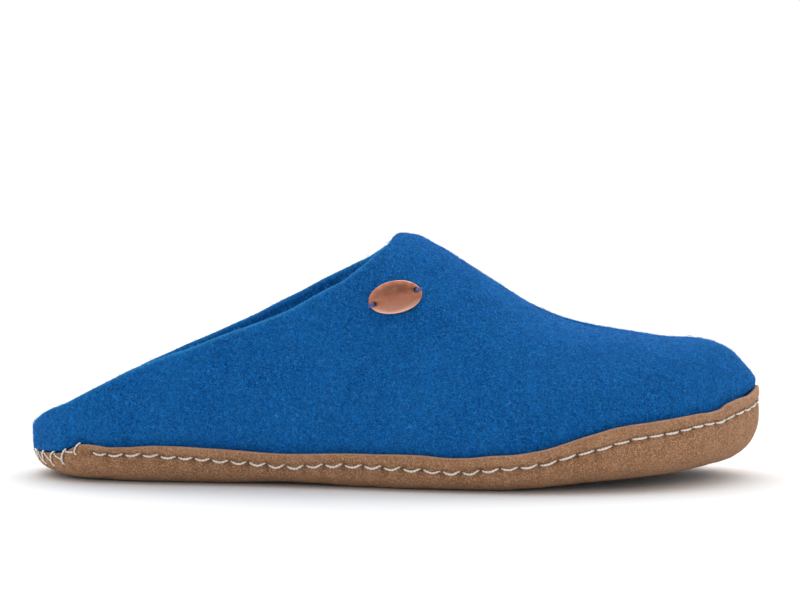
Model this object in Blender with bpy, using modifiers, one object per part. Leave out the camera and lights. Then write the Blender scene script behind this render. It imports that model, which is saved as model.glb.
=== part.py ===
"""A felt house slipper for the right foot: a low-backed mule.

Pieces: a one-piece wool felt upper, a suede sole turned up round its foot
(the rand), a loose footbed inside, and a small oval metal badge.

Frame: +X towards the toe, +Y towards the inner side of the foot (medial),
+Z up, floor at z = 0, origin under the middle of the slipper.
Tables are in millimetres, with x measured from the back of the suede heel.
"""

import math
from collections import namedtuple

import bmesh
import bpy
import numpy as np
from mathutils import Matrix, Vector

MM = 0.001

# ---------------------------------------------------------------- sizes, mm
FELT = 4.5  # wall of the felted upper
SUEDE = 2.5  # sole leather
GAP = 0.3  # clearance between pieces that touch
LINER = SUEDE + GAP  # felt form to the outside of the suede
EDGE_GAP = 1.0  # the felt starts to swell this far above the suede's edge
FORM_BACK, FORM_TIP = 3.4, 281.2  # the felt form inside the 284 mm sole
TIP_Y = 12.0  # the toe's furthest point lies towards the inner side
THROAT_X = 139.8  # where the collar crosses the instep ridge
SPINE_TOE_X = 262.0  # front end of the ridge line
KEEL_TOE_X, KEEL_HEEL_X = 247.0, 30.0  # ends of the line under the foot
MARGIN = 4.0  # felt turned in flat beyond the curl
FOOTBED_EDGE = 3.7  # footbed above the turned-in felt
FACET = 0.5  # how far a flat facet may stand in from the true curve
RIBS = 64  # ribs round the slipper, even
CURL_ROWS = (0.0, 1.0 / 3.0, 2.0 / 3.0, 1.0)  # rows round the bottom corner
BADGE_LONG, BADGE_SHORT, BADGE_THICK = 20.7, 14.0, 1.0
BADGE_X, BADGE_Z, BADGE_TILT = 145.0, 71.3, 12.1
BADGE_HOLE, BADGE_HOLE_AT, BADGE_HOLE_TURN = 1.0, 8.3, 10.9

# The outline of the felt form seen from above.
Outline = namedtuple("Outline", "x lateral medial")
OUTLINE = (
    Outline(5.6, -12.5, 12.5),
    Outline(17.0, -26.5, 26.0),
    Outline(45.0, -34.0, 33.0),
    Outline(86.0, -37.0, 33.0),
    Outline(126.0, -42.5, 33.8),
    Outline(165.0, -49.0, 40.5),
    Outline(195.0, -50.5, 45.5),
    Outline(225.0, -45.0, 46.5),
    Outline(251.0, -32.5, 43.0),
    Outline(268.5, -15.5, 34.5),
    Outline(278.5, 0.5, 23.5),
)

# The lengthwise line of the ridge; behind the throat it only shapes the walls.
Ridge = namedtuple("Ridge", "x height offset")
RIDGE = (
    Ridge(0.0, 155.0, 0.0),
    Ridge(60.0, 147.0, 0.5),
    Ridge(86.0, 131.0, 2.0),
    Ridge(101.0, 117.8, 3.5),
    Ridge(117.0, 103.2, 5.0),
    Ridge(127.0, 96.8, 6.0),
    Ridge(134.0, 94.3, 6.0),
    Ridge(139.8, 93.5, 6.0),
    Ridge(144.8, 94.8, 6.0),
    Ridge(149.5, 94.7, 6.0),
    Ridge(158.9, 90.4, 5.8),
    Ridge(170.7, 83.0, 5.4),
    Ridge(182.4, 75.3, 5.0),
    Ridge(194.1, 68.3, 4.4),
    Ridge(206.0, 62.9, 3.8),
    Ridge(217.6, 59.5, 3.0),
    Ridge(235.0, 56.5, 1.6),
    Ridge(252.0, 54.6, 0.0),
    Ridge(282.0, 54.5, 0.0),
)
TOE_ROUND_X, TOE_ROUND_POWER = 248.5, 2.95

# Height of the collar's cut edge on each side.
Collar = namedtuple("Collar", "x lateral medial")
COLLAR = (
    Collar(0.0, 19.9, 19.9),
    Collar(5.0, 21.9, 21.0),
    Collar(9.3, 24.7, 22.7),
    Collar(20.0, 31.0, 28.8),
    Collar(43.9, 43.0, 41.7),
    Collar(71.4, 54.0, 54.2),
    Collar(100.5, 65.0, 68.4),
    Collar(116.5, 72.9, 76.9),
    Collar(125.0, 77.7, 81.3),
    Collar(131.5, 83.0, 84.7),
    Collar(135.5, 86.9, 87.7),
    Collar(138.4, 90.3, 90.6),
    Collar(139.8, 93.5, 93.5),
)

# The foot of the slipper: underside, widest line, how far the bottom corner
# rounds in, the suede's top edge and the swell of the felt just above it.
Foot = namedtuple("Foot", "x under widest corner edge swell")
FOOT = (
    Foot(3.4, 2.4, 9.2, 8.0, 9.6, 3.2),
    Foot(14.0, 1.2, 9.1, 8.0, 10.4, 3.0),
    Foot(24.0, 0.4, 9.4, 8.2, 14.3, 2.6),
    Foot(46.0, 0.0, 9.8, 8.4, 15.7, 2.3),
    Foot(78.0, 0.0, 9.5, 8.4, 14.9, 2.1),
    Foot(105.0, 0.9, 10.0, 8.4, 14.2, 2.0),
    Foot(135.0, 0.0, 9.6, 8.4, 15.0, 1.9),
    Foot(165.0, 0.0, 9.4, 8.4, 13.8, 1.8),
    Foot(185.0, 0.0, 9.8, 8.6, 14.8, 1.7),
    Foot(200.0, 0.9, 11.4, 9.6, 17.2, 1.5),
    Foot(217.0, 2.4, 13.6, 11.0, 22.2, 1.1),
    Foot(235.0, 3.3, 15.6, 12.4, 25.7, 0.8),
    Foot(252.0, 4.2, 17.6, 13.5, 27.9, 0.4),
    Foot(268.0, 5.4, 20.2, 14.3, 30.4, 0.4),
    Foot(276.0, 6.0, 21.6, 14.3, 33.0, 0.7),
    Foot(282.0, 6.6, 22.6, 14.3, 35.0, 4.6),
)

# Roundness of the sections: 2 is an ellipse, more is squarer.
Round = namedtuple("Round", "x lateral medial")
ROUND = (
    Round(0.0, 2.0, 2.0),
    Round(140.0, 1.9, 2.1),
    Round(200.0, 2.0, 2.2),
    Round(255.0, 2.25, 2.35),
)


# ------------------------------------------------------------ plain maths
def smooth_step(value):
    value = np.clip(value, 0.0, 1.0)
    return value * value * (3.0 - 2.0 * value)


def column(table, name):
    """A smooth function of x through one column of a table, with no overshoot."""
    xs = np.array([row.x for row in table])
    ys = np.array([getattr(row, name) for row in table])
    steps, rises = np.diff(xs), np.diff(ys) / np.diff(xs)
    slopes = np.zeros(len(xs))
    for i in range(1, len(xs) - 1):
        a, b = rises[i - 1], rises[i]
        if a * b > 0.0:
            w1 = 2.0 * steps[i] + steps[i - 1]
            w2 = steps[i] + 2.0 * steps[i - 1]
            slopes[i] = (w1 + w2) / (w1 / a + w2 / b)
    slopes[0], slopes[-1] = rises[0], rises[-1]

    def value(x):
        x = np.clip(np.asarray(x, float), xs[0], xs[-1])
        k = np.clip(np.searchsorted(xs, x, side="right") - 1, 0, len(xs) - 2)
        h = steps[k]
        u = (x - xs[k]) / h
        return (
            ys[k] * (1 + 2 * u) * (1 - u) ** 2
            + slopes[k] * h * u * (1 - u) ** 2
            + ys[k + 1] * u * u * (3 - 2 * u)
            + slopes[k + 1] * h * u * u * (u - 1)
        )

    return value


def along(points, shares):
    """Points at these shares of a polyline's length."""
    points = np.asarray(points, float)
    run = np.concatenate(
        [[0.0], np.cumsum(np.linalg.norm(np.diff(points, axis=0), axis=1))]
    )
    at = np.asarray(shares) * run[-1]
    return np.stack(
        [np.interp(at, run, points[:, i]) for i in range(points.shape[1])], axis=1
    )


def closed_curve(points, per_span=40):
    """A smooth closed curve through the points (Catmull-Rom, centripetal)."""
    points = np.asarray(points, float)
    count = len(points)
    out = []
    for i in range(count):
        p = [points[(i + k - 1) % count] for k in range(4)]
        t = [0.0]
        for k in range(3):
            t.append(t[-1] + math.sqrt(np.linalg.norm(p[k + 1] - p[k])))
        for s in range(per_span):
            u = t[1] + (t[2] - t[1]) * s / per_span
            a = [
                (t[k + 1] - u) / (t[k + 1] - t[k]) * p[k]
                + (u - t[k]) / (t[k + 1] - t[k]) * p[k + 1]
                for k in range(3)
            ]
            b = [
                (t[k + 2] - u) / (t[k + 2] - t[k]) * a[k]
                + (u - t[k]) / (t[k + 2] - t[k]) * a[k + 1]
                for k in range(2)
            ]
            out.append(
                (t[2] - u) / (t[2] - t[1]) * b[0] + (u - t[1]) / (t[2] - t[1]) * b[1]
            )
    return np.array(out)


# ---------------------------------------------------------------- the last
ridge_height = column(RIDGE, "height")
ridge_offset = column(RIDGE, "offset")
collar_height = {-1: column(COLLAR, "lateral"), 1: column(COLLAR, "medial")}
under = column(FOOT, "under")
widest = column(FOOT, "widest")
corner = column(FOOT, "corner")
suede_edge = column(FOOT, "edge")
swell = column(FOOT, "swell")
power = {-1: column(ROUND, "lateral"), 1: column(ROUND, "medial")}


def outline_halves():
    """The lateral and medial halves of the outline, each from toe tip to heel."""
    ring = [(FORM_TIP, TIP_Y)]
    ring += [(row.x, row.lateral) for row in reversed(OUTLINE)]
    ring += [(FORM_BACK, 0.0)]
    ring += [(row.x, row.medial) for row in OUTLINE]
    curve = closed_curve(ring)
    curve = np.roll(curve, -int(np.argmax(curve[:, 0])), axis=0)
    heel = int(np.argmin(curve[:, 0]))
    lateral = curve[: heel + 1]
    medial = np.concatenate([curve[heel:], curve[:1]])[::-1]
    return lateral, medial


LATERAL, MEDIAL = outline_halves()
HALF = {-1: LATERAL, 1: MEDIAL}


def side_y(x, side):
    half = HALF[side]
    order = np.argsort(half[:, 0])
    return np.interp(x, half[order, 0], half[order, 1])


def centre_y(x):
    return 0.5 * (side_y(x, -1) + side_y(x, 1))


def ridge_y(x):
    return centre_y(x) + ridge_offset(x)


def top_height(x):
    """Height of the ridge, rounded down over the toe to the widest line."""
    x = np.asarray(x, float)
    u = np.clip((x - TOE_ROUND_X) / (FORM_TIP - TOE_ROUND_X), 0.0, 1.0)
    fall = (1.0 - u**TOE_ROUND_POWER) ** (1.0 / TOE_ROUND_POWER)
    return widest(x) + (ridge_height(x) - widest(x)) * fall


def rise(share_in, x, side):
    """Share of the height reached at a share (1 outline, 0 ridge) of the width."""
    p = power[side](x)
    return np.clip(1.0 - np.clip(share_in, 0.0, 1.0) ** p, 0.0, 1.0) ** (1.0 / p)


def reach(share_up, x, side):
    """Share of the width left at a share of the height: the inverse of rise."""
    p = power[side](x)
    return np.clip(1.0 - np.clip(share_up, 0.0, 1.0) ** p, 0.0, 1.0) ** (1.0 / p)


class Half:
    """One half of the outline, by share of its length from toe tip to heel."""

    def __init__(self, side):
        self.side = side
        self.fine = along(HALF[side], np.linspace(0.0, 1.0, 1601))
        step = np.gradient(self.fine, axis=0)
        normal = np.stack([step[:, 1], -step[:, 0]], axis=1) * side
        normal /= np.linalg.norm(normal, axis=1)[:, None]
        normal[0], normal[-1] = (1.0, 0.0), (-1.0, 0.0)
        self.normal = normal

    def at(self, share):
        index = np.asarray(share) * 1600.0
        base = np.arange(1601)
        point = np.stack([np.interp(index, base, self.fine[:, k]) for k in (0, 1)], -1)
        out = np.stack([np.interp(index, base, self.normal[:, k]) for k in (0, 1)], -1)
        return point, out / np.linalg.norm(out, axis=-1, keepdims=True)

    def share_of_x(self, x):
        order = np.argsort(self.fine[:, 0])
        return np.interp(x, self.fine[order, 0], np.linspace(0, 1, 1601)[order])


SIDES = {-1: Half(-1), 1: Half(1)}


def wall_point(side, share, up):
    """The form's wall at a share of the outline and a share of the height.

    Round the heel the wall leans in square to the outline; forward of the
    arch it follows the section up to the ridge.
    """
    base, out = SIDES[side].at(share)
    x = base[..., 0]
    left = reach(up, x, side)
    z = widest(x) + (ridge_height(x) - widest(x)) * up
    lean = 35.0 * (1.0 - left)
    heel = base - out * lean[..., None]
    y = ridge_y(x) + (base[..., 1] - ridge_y(x)) * left
    front = np.stack([x, y], -1)
    mix = smooth_step((x - 40.0) / 45.0)[..., None]
    plan = heel * (1.0 - mix) + front * mix
    return np.concatenate([plan, z[..., None]], -1)


def collar_up(side, share):
    """Share of the height at which the collar is cut, at a share of the outline."""
    x = SIDES[side].at(share)[0][..., 0]
    z = collar_height[side](x)
    return np.clip((z - widest(x)) / (ridge_height(x) - widest(x)), 0.0, 1.0)


def collar_curve(side):
    """(outline share, point) down the collar's edge, from the throat to the heel."""
    start = SIDES[side].share_of_x(THROAT_X)
    shares = start + (1.0 - start) * np.linspace(0.0, 1.0, 900) ** 2.2
    return shares, wall_point(side, shares, collar_up(side, shares))


def onset(x):
    """Height over which the felt swells out: short at the heel and the toe tip."""
    return 2.2 + 2.8 * smooth_step((x - 12.0) / 14.0) * smooth_step((279.0 - x) / 12.0)


def rib(side, share, target, keel):
    """One rib of the form, as four runs of points from under the foot upwards.

    flat: keel to the turn of the bottom corner; curl: round the corner;
    foot: widest line to the suede's edge; body: from there to the collar
    or the ridge. target is ("ridge", x) or ("collar", share, up).
    """
    base, out = SIDES[side].at(share)
    low = widest(base[0])
    turn = np.linspace(0.0, 0.5 * math.pi, 25)
    plan = base - out * (corner(base[0]) * (1.0 - np.cos(turn)))[:, None]
    floor = under(plan[:, 0]) + LINER
    z = low - (low - floor) * np.sin(turn)
    curl = np.concatenate([plan, z[:, None]], 1)[::-1]
    steps = np.linspace(0.0, 1.0, 17)[:, None]
    plan = keel[:2] + (curl[0, :2] - keel[:2]) * steps
    flat = np.concatenate([plan, (under(plan[:, 0]) + LINER)[:, None]], 1)

    if target[0] == "ridge":
        end = np.array([target[1], ridge_y(target[1])])
        run = (np.linspace(0.0, 1.0, 241) ** 3)[:, None]
        plan = base + (end - base) * run
        x = plan[:, 0]
        middle = ridge_y(x)
        width = np.maximum(np.abs(side_y(x, side) - middle), 1e-6)
        left = np.clip(np.abs(plan[:, 1] - middle) / width, 0.0, 1.0)
        left[0] = 1.0 if 0.0 < share else 0.0
        z = widest(x) + (top_height(x) - widest(x)) * rise(left, x, side)
        z[0] = low
        wall = np.concatenate([plan, z[:, None]], 1)
    else:
        end_share, end_up = target[1], target[2]
        p = 2.0
        last = math.asin(min(1.0, end_up ** (p / 2.0)))
        turn = np.linspace(0.0, last, 241)
        left, up = np.cos(turn), np.sin(turn)
        moved = (1.0 - left) / max(1.0 - left[-1], 1e-9)
        wall = wall_point(side, share + (end_share - share) * moved, up)
        wall[-1] = wall_point(side, np.array([end_share]), np.array([end_up]))[0]

    edge = suede_edge(wall[:, 0]) + EDGE_GAP
    above = int(np.argmax(wall[:, 2] > edge))
    a, b = wall[above - 1], wall[above]
    mix = (edge[above] - a[2]) / (b[2] - a[2])
    cut = a + (b - a) * float(np.clip(mix, 0.02, 0.98))
    foot = np.concatenate([wall[:above], cut[None]])
    body = np.concatenate([cut[None], wall[above:]])
    lift = body[:, 2] - suede_edge(body[:, 0]) - EDGE_GAP
    amount = swell(body[:, 0]) * smooth_step(lift / onset(body[:, 0]))
    amount *= 1.0 - smooth_step((lift - 12.0) / 35.0)
    body[:, :2] += out * amount[:, None]
    return flat, curl, foot, body


def ribs():
    """Every rib, in ring order: toe tip, lateral side, heel, medial side."""
    half = RIBS // 2
    u = np.linspace(0.0, 1.0, half + 1)
    shares = u - 0.055 * np.sin(2.0 * math.pi * u)
    front = half // 2
    spine = np.linspace(SPINE_TOE_X, THROAT_X, front + 1)
    middles = []
    for k in range(half + 1):
        ends = []
        for side in (-1, 1):
            base, out = SIDES[side].at(shares[k])
            ends.append(base[0] - out[0] * corner(base[0]))
        middles.append(0.5 * sum(ends))
    middles = np.array(middles)
    keel_x = KEEL_HEEL_X + (KEEL_TOE_X - KEEL_HEEL_X) * (middles - middles[-1]) / (
        middles[0] - middles[-1]
    )
    made = {}
    for side in (-1, 1):
        curve_share, curve = collar_curve(side)
        run = np.concatenate(
            [[0.0], np.cumsum(np.linalg.norm(np.diff(curve, axis=0), axis=1))]
        )
        for k in range(half + 1):
            keel = np.array([keel_x[k], centre_y(keel_x[k])])
            if k <= front:
                target = ("ridge", spine[k])
            else:
                at = (k - front) / (half - front)
                share = np.interp(at * run[-1], run, curve_share)
                up = float(collar_up(side, np.array([share]))[0])
                target = ("collar", float(share), up)
            made[side, k] = rib(side, shares[k], target, keel)
    order = [(-1, k) for k in range(half + 1)] + [(1, k) for k in range(half - 1, 0, -1)]
    return [made[key] for key in order]


# ------------------------------------------------------------ mesh helpers
def ladder(rows, join_first, join_last, keep_last=None):
    """Faces between rows of points that run round the slipper.

    rows[r][i] is the point of rib i. A joined row lies on a centre line, where
    rib i and its opposite rib share one point; keep_last says which ribs of the
    last row are joined.
    """
    count = len(rows[0])
    points, index = [], []
    for r, row in enumerate(rows):
        shared = (r == 0 and join_first) or (r == len(rows) - 1 and join_last)
        names = [0] * count
        for i in range(count):
            other = (count - i) % count
            if shared and other < i and (keep_last is None or keep_last(i)):
                names[i] = names[other]
            else:
                names[i] = len(points)
                points.append(row[i])
        index.append(names)
    faces = []
    for r in range(len(rows) - 1):
        for i in range(count):
            j = (i + 1) % count
            loop = [index[r][i], index[r][j], index[r + 1][j], index[r + 1][i]]
            tidy = [v for n, v in enumerate(loop) if v != loop[n - 1]]
            if len(set(tidy)) > 2:
                faces.append(tidy)
    return points, faces


def mesh_object(name, points, faces, collection, material):
    mesh = bpy.data.meshes.new(name)
    mesh.from_pydata([tuple(float(c) * MM for c in p) for p in points], [], faces)
    mesh.update()
    shape = bmesh.new()
    shape.from_mesh(mesh)
    bmesh.ops.recalc_face_normals(shape, faces=shape.faces)
    shape.to_mesh(mesh)
    shape.free()
    mesh.materials.append(material)
    mesh.shade_smooth()
    obj = bpy.data.objects.new(name, mesh)
    collection.objects.link(obj)
    return obj


def face_outwards(obj, inside):
    """Turns an open shell's faces to point away from a point inside it."""
    mesh = obj.data
    total = 0.0
    for face in mesh.polygons:
        total += face.area * face.normal.dot(face.center - Vector(inside))
    if total < 0.0:
        mesh.flip_normals()


def material(name, colour, roughness, metallic=0.0):
    made = bpy.data.materials.new(name)
    made.use_nodes = True
    shader = made.node_tree.nodes["Principled BSDF"]
    shader.inputs["Base Color"].default_value = (*colour, 1.0)
    shader.inputs["Roughness"].default_value = roughness
    shader.inputs["Metallic"].default_value = metallic
    return made


def rows_of(all_ribs, run, shares):
    """Rows across every rib, at shares of one of its four runs."""
    spaced = [along(one[run], shares) for one in all_ribs]
    return [[spaced[i][r] for i in range(len(spaced))] for r in range(len(shares))]


# ------------------------------------------------------------- the pieces
def make_upper(all_ribs, collection):
    """One felted wall, open at the collar and under the foot."""
    tucked = []
    for one in all_ribs:
        corner_point, keel_point = one[0][-1], one[0][0]
        way = keel_point[:2] - corner_point[:2]
        plan = corner_point[:2] + way * (MARGIN / np.linalg.norm(way))
        tucked.append(np.array([*plan, under(plan[0]) + LINER]))
    rows = [tucked]
    rows += rows_of(all_ribs, 1, CURL_ROWS)
    rows += rows_of(all_ribs, 2, [0.5, 1.0])
    rows += rows_of(all_ribs, 3, np.linspace(0.0, 1.0, 10)[1:])
    front = RIBS // 4
    points, faces = ladder(
        rows, False, True, keep_last=lambda i: min(i, RIBS - i) <= front
    )
    obj = mesh_object("upper", points, faces, collection, FELT_BLUE)
    face_outwards(obj, (0.15, 0.0, 0.03))
    wall = obj.modifiers.new("felt_wall", "SOLIDIFY")
    wall.thickness, wall.offset = FELT * MM, -1.0
    wall.use_even_offset, wall.use_rim = True, True
    edge = obj.modifiers.new("worn_edges", "BEVEL")
    edge.width, edge.segments = 1.3 * MM, 1
    edge.limit_method, edge.angle_limit = "ANGLE", math.radians(62.0)
    return obj


def make_outsole(all_ribs, collection):
    """Suede pulled up round the felt: the form's foot, one leather thick."""
    trimmed = []
    for one in all_ribs:
        wall = one[2]
        short = wall[:, 2] <= suede_edge(wall[:, 0])
        last = max(int(np.argmin(short)), 1)
        a, b = wall[last - 1], wall[last]
        mix = (suede_edge(b[0]) - a[2]) / (b[2] - a[2])
        cut = a + (b - a) * float(np.clip(mix, 0.05, 1.0))
        trimmed.append((one[0], one[1], np.concatenate([wall[:last], cut[None]])))
    rows = rows_of(trimmed, 0, [0.0, 0.5, 1.0])
    rows += rows_of(trimmed, 1, CURL_ROWS[1:])
    rows += rows_of(trimmed, 2, [0.5, 1.0])
    points, faces = ladder(rows, True, False)
    obj = mesh_object("outsole", points, faces, collection, SUEDE_BROWN)
    face_outwards(obj, (0.15, 0.0, 0.03))
    clear = obj.modifiers.new("clear_of_felt", "DISPLACE")
    clear.strength, clear.mid_level = GAP * MM, 0.0
    wall = obj.modifiers.new("leather", "SOLIDIFY")
    wall.thickness, wall.offset = SUEDE * MM, 1.0
    wall.use_even_offset, wall.use_rim = True, True
    return obj


def inside_of_curl(curl, depth):
    """The curl's section moved in by a depth: (distance out, height) points."""
    start, end = curl[0], curl[-1]
    out = (end[:2] - start[:2]) / np.linalg.norm(end[:2] - start[:2])
    section = np.stack([(curl[:, :2] - start[:2]) @ out, curl[:, 2]], axis=1)
    step = np.gradient(section, axis=0)
    inward = np.stack([-step[:, 1], step[:, 0]], axis=1)
    inward /= np.linalg.norm(inward, axis=1)[:, None]
    moved = section + inward * depth
    return out, moved


def make_insole(all_ribs, collection):
    """A footbed: its rim lies on the turned-in felt, its middle on the sole."""
    inner = FELT + GAP
    levels = [0.0, 0.35, 0.65, 1.0]
    base = []
    for one in all_ribs:
        corner_point, keel_point = one[0][-1], one[0][0]
        way = keel_point[:2] - corner_point[:2]
        way = way / np.linalg.norm(way)
        plug = corner_point[:2] + way * (MARGIN + 0.6)
        floor = under(plug[0]) + LINER
        slack = 0.45 * float(smooth_step((corner_point[0] - 190.0) / 50.0))
        out, wall = inside_of_curl(one[1], inner + FACET + slack)
        rest = under(corner_point[0]) + LINER + inner + slack
        side = []
        for level in levels:
            z = rest + FOOTBED_EDGE * level
            span = float(np.interp(z, wall[:, 1], wall[:, 0]))
            plan = corner_point[:2] + out * max(span - 0.15 * (1.0 - level), 0.3)
            side.append(np.array([*plan, z]))
        base.append((plug, floor, side, keel_point[:2]))
    count = len(base)
    top = LINER + inner + FOOTBED_EDGE
    rows = [
        [np.array([*b[3], under(b[3][0]) + LINER]) for b in base],
        [np.array([*b[0], b[1]]) for b in base],
        [np.array([*b[0], b[1] + inner]) for b in base],
    ]
    rows += [[base[i][2][r] for i in range(count)] for r in range(len(levels))]
    for share in (0.25, 0.6, 1.0):
        row = []
        for b in base:
            plan = b[2][-1][:2] + (b[3] - b[2][-1][:2]) * share
            row.append(np.array([*plan, under(plan[0]) + top]))
        rows.append(row)
    points, faces = ladder(rows, True, True)
    return mesh_object("insole", points, faces, collection, FELT_FOOTBED)


def badge_frame():
    """Centre and axes of the badge on the lateral side of the instep."""
    half = SIDES[-1]

    def on_wall(x, z):
        share = half.share_of_x(x)
        x_here = half.at(share)[0][0]
        up = (z - widest(x_here)) / (top_height(x_here) - widest(x_here))
        left = reach(up, x_here, -1)
        y = ridge_y(x_here) + (side_y(x_here, -1) - ridge_y(x_here)) * left
        return np.array([x_here, float(y), z])

    here = on_wall(BADGE_X, BADGE_Z)
    ahead = on_wall(BADGE_X + 10.0, BADGE_Z) - on_wall(BADGE_X - 10.0, BADGE_Z)
    higher = on_wall(BADGE_X, BADGE_Z + 4.0) - on_wall(BADGE_X, BADGE_Z - 4.0)
    out = np.cross(ahead, higher)
    out /= np.linalg.norm(out)
    ahead /= np.linalg.norm(ahead)
    up = np.cross(out, ahead)
    tilt = math.radians(BADGE_TILT)
    long_way = ahead * math.cos(tilt) + up * math.sin(tilt)
    short_way = np.cross(out, long_way)
    return here, long_way, short_way, out


def apply_scale(obj, scale):
    obj.data.transform(Matrix.Diagonal((*scale, 1.0)))


def make_badge(collection, cutters, shift):
    here, long_way, short_way, out = badge_frame()
    bpy.ops.mesh.primitive_cylinder_add(vertices=32, radius=0.5, depth=1.0)
    badge = bpy.context.object
    badge.name = badge.data.name = "badge"
    apply_scale(badge, (BADGE_LONG * MM, BADGE_SHORT * MM, BADGE_THICK * MM))
    badge.data.materials.append(COPPER)
    turn = Matrix((long_way, short_way, out)).transposed().to_4x4()
    centre = here + out * (GAP + 0.45 + 0.5 * BADGE_THICK) + shift
    badge.matrix_world = Matrix.Translation(Vector(centre * MM)) @ turn
    for side in (-1, 1):
        bpy.ops.mesh.primitive_cylinder_add(
            vertices=12, radius=BADGE_HOLE * MM, depth=4.0 * BADGE_THICK * MM
        )
        drill = bpy.context.object
        drill.name = "drill_%d" % (side + 2)
        way = math.radians(BADGE_HOLE_TURN)
        hole = (side * BADGE_HOLE_AT * math.cos(way), side * BADGE_HOLE_AT * math.sin(way))
        at = badge.matrix_world @ Vector((hole[0] * MM, hole[1] * MM, 0.0))
        drill.matrix_world = Matrix.Translation(at) @ turn
        drill.hide_render = True
        drill.display_type = "WIRE"
        move_to(drill, cutters)
        cut = badge.modifiers.new("thread_hole_%d" % (side + 2), "BOOLEAN")
        cut.operation, cut.object, cut.solver = "DIFFERENCE", drill, "EXACT"
    soft = badge.modifiers.new("rolled_edge", "BEVEL")
    soft.width, soft.segments = 0.3 * MM, 1
    soft.limit_method, soft.angle_limit = "ANGLE", math.radians(60.0)
    move_to(badge, collection)
    return badge


def move_to(obj, collection):
    for old in list(obj.users_collection):
        old.objects.unlink(obj)
    collection.objects.link(obj)


def make_slipper():
    collection = bpy.data.collections.new("felt_slipper")
    cutters = bpy.data.collections.new("cutters")
    bpy.context.scene.collection.children.link(collection)
    bpy.context.scene.collection.children.link(cutters)
    all_ribs = ribs()
    outsole = make_outsole(all_ribs, collection)
    upper = make_upper(all_ribs, collection)
    bpy.context.view_layer.update()
    graph = bpy.context.evaluated_depsgraph_get()
    corners = [
        Vector(corner) / MM
        for obj in (outsole, upper)
        for corner in obj.evaluated_get(graph).bound_box
    ]
    lows = [min(c[k] for c in corners) for k in range(2)]
    highs = [max(c[k] for c in corners) for k in range(2)]
    shift = np.array([-(lows[0] + highs[0]) / 2, -(lows[1] + highs[1]) / 2, 0.0])
    insole = make_insole(all_ribs, collection)
    root = bpy.data.objects.new("slipper_right", None)
    collection.objects.link(root)
    for obj in (upper, outsole, insole):
        obj.location = Vector(shift * MM)
        obj.parent = root
    badge = make_badge(collection, cutters, shift)
    badge.parent = root


for old in list(bpy.data.objects):
    bpy.data.objects.remove(old, do_unlink=True)
FELT_BLUE = material("felt_blue", (0.012, 0.105, 0.36), 0.95)
FELT_FOOTBED = material("felt_footbed", (0.012, 0.09, 0.30), 0.95)
SUEDE_BROWN = material("suede_brown", (0.27, 0.155, 0.085), 0.92)
COPPER = material("copper", (0.72, 0.33, 0.2), 0.35, 1.0)
make_slipper()
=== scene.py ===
"""The looks of a right felt slipper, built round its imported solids.

Lengths in the tables and in the shape functions are millimetres, with x
measured from the back of the sole, as in the part's own source. SHIFT moves
them to the row frame, where +X is the toe, +Y the inner side and +Z up.
"""

import math
from collections import namedtuple

import bmesh
import bpy
import numpy as np
from mathutils import Matrix, Vector, kdtree, noise


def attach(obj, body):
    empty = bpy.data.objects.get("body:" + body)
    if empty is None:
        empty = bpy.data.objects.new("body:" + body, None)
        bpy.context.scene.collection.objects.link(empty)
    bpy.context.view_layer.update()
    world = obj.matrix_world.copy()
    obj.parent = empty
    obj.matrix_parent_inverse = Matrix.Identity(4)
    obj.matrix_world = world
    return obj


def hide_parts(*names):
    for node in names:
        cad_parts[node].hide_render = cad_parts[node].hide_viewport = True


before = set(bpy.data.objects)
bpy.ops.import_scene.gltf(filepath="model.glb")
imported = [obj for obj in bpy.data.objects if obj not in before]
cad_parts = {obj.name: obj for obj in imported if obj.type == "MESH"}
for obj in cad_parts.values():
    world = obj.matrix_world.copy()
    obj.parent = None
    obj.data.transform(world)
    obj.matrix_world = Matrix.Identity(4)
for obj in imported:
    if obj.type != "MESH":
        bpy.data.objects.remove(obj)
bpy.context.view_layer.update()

MM = 0.001
SHIFT = np.array([-142.1186, 2.0091, 0.0])
RNG = np.random.default_rng(7)

# The studio's light: even fill, a broad lobe from above and behind, one at
# each side, and one low in front.
SKY_FROM, SKY_FOCUS = (0.0, 0.62, 0.78), 4.0
SKY_FILL, SKY_KEY, SKY_SIDE, SKY_FRONT = 0.11, 3.55, 0.75, 1.52

# ---------------------------------------------------------------- sizes, mm
FELT = 4.5
SUEDE = 2.5
GAP = 0.3
LINER = SUEDE + GAP
FORM_BACK, FORM_TIP = 3.4, 281.2
TIP_Y = 12.0
THROAT_X = 139.8
SPINE_TOE_X = 262.0
KEEL_TOE_X, KEEL_HEEL_X = 247.0, 30.0
MARGIN = 4.0
FOOTBED_EDGE = 3.7
EDGE_GAP = 0.3
BADGE_LONG, BADGE_SHORT, BADGE_THICK = 20.7, 14.0, 1.0
BADGE_X, BADGE_Z, BADGE_TILT = 145.0, 71.3, 12.1
BADGE_HOLE, BADGE_HOLE_AT, BADGE_HOLE_TURN = 1.0, 8.3, 10.9
HOLE_SHOWN = 0.8  # the rolled lip of each hole closes it in a little
RUNNING_FROM = 29.2  # the running stitches start this far from the heel
SEWN_FROM = 25.6  # and their groove fades in just behind the first of them
THREAD = 0.43  # radius of the waxed thread
WHIP_PITCH = 6.3  # blanket stitches round the heel

Outline = namedtuple("Outline", "x lateral medial")
OUTLINE = (
    Outline(5.6, -12.5, 12.5),
    Outline(17.0, -26.5, 26.0),
    Outline(45.0, -34.0, 33.0),
    Outline(86.0, -37.0, 33.0),
    Outline(126.0, -42.5, 33.8),
    Outline(165.0, -49.0, 40.5),
    Outline(195.0, -50.5, 45.5),
    Outline(225.0, -45.0, 46.5),
    Outline(251.0, -32.5, 43.0),
    Outline(268.5, -15.5, 34.5),
    Outline(278.5, 0.5, 23.5),
)

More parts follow.
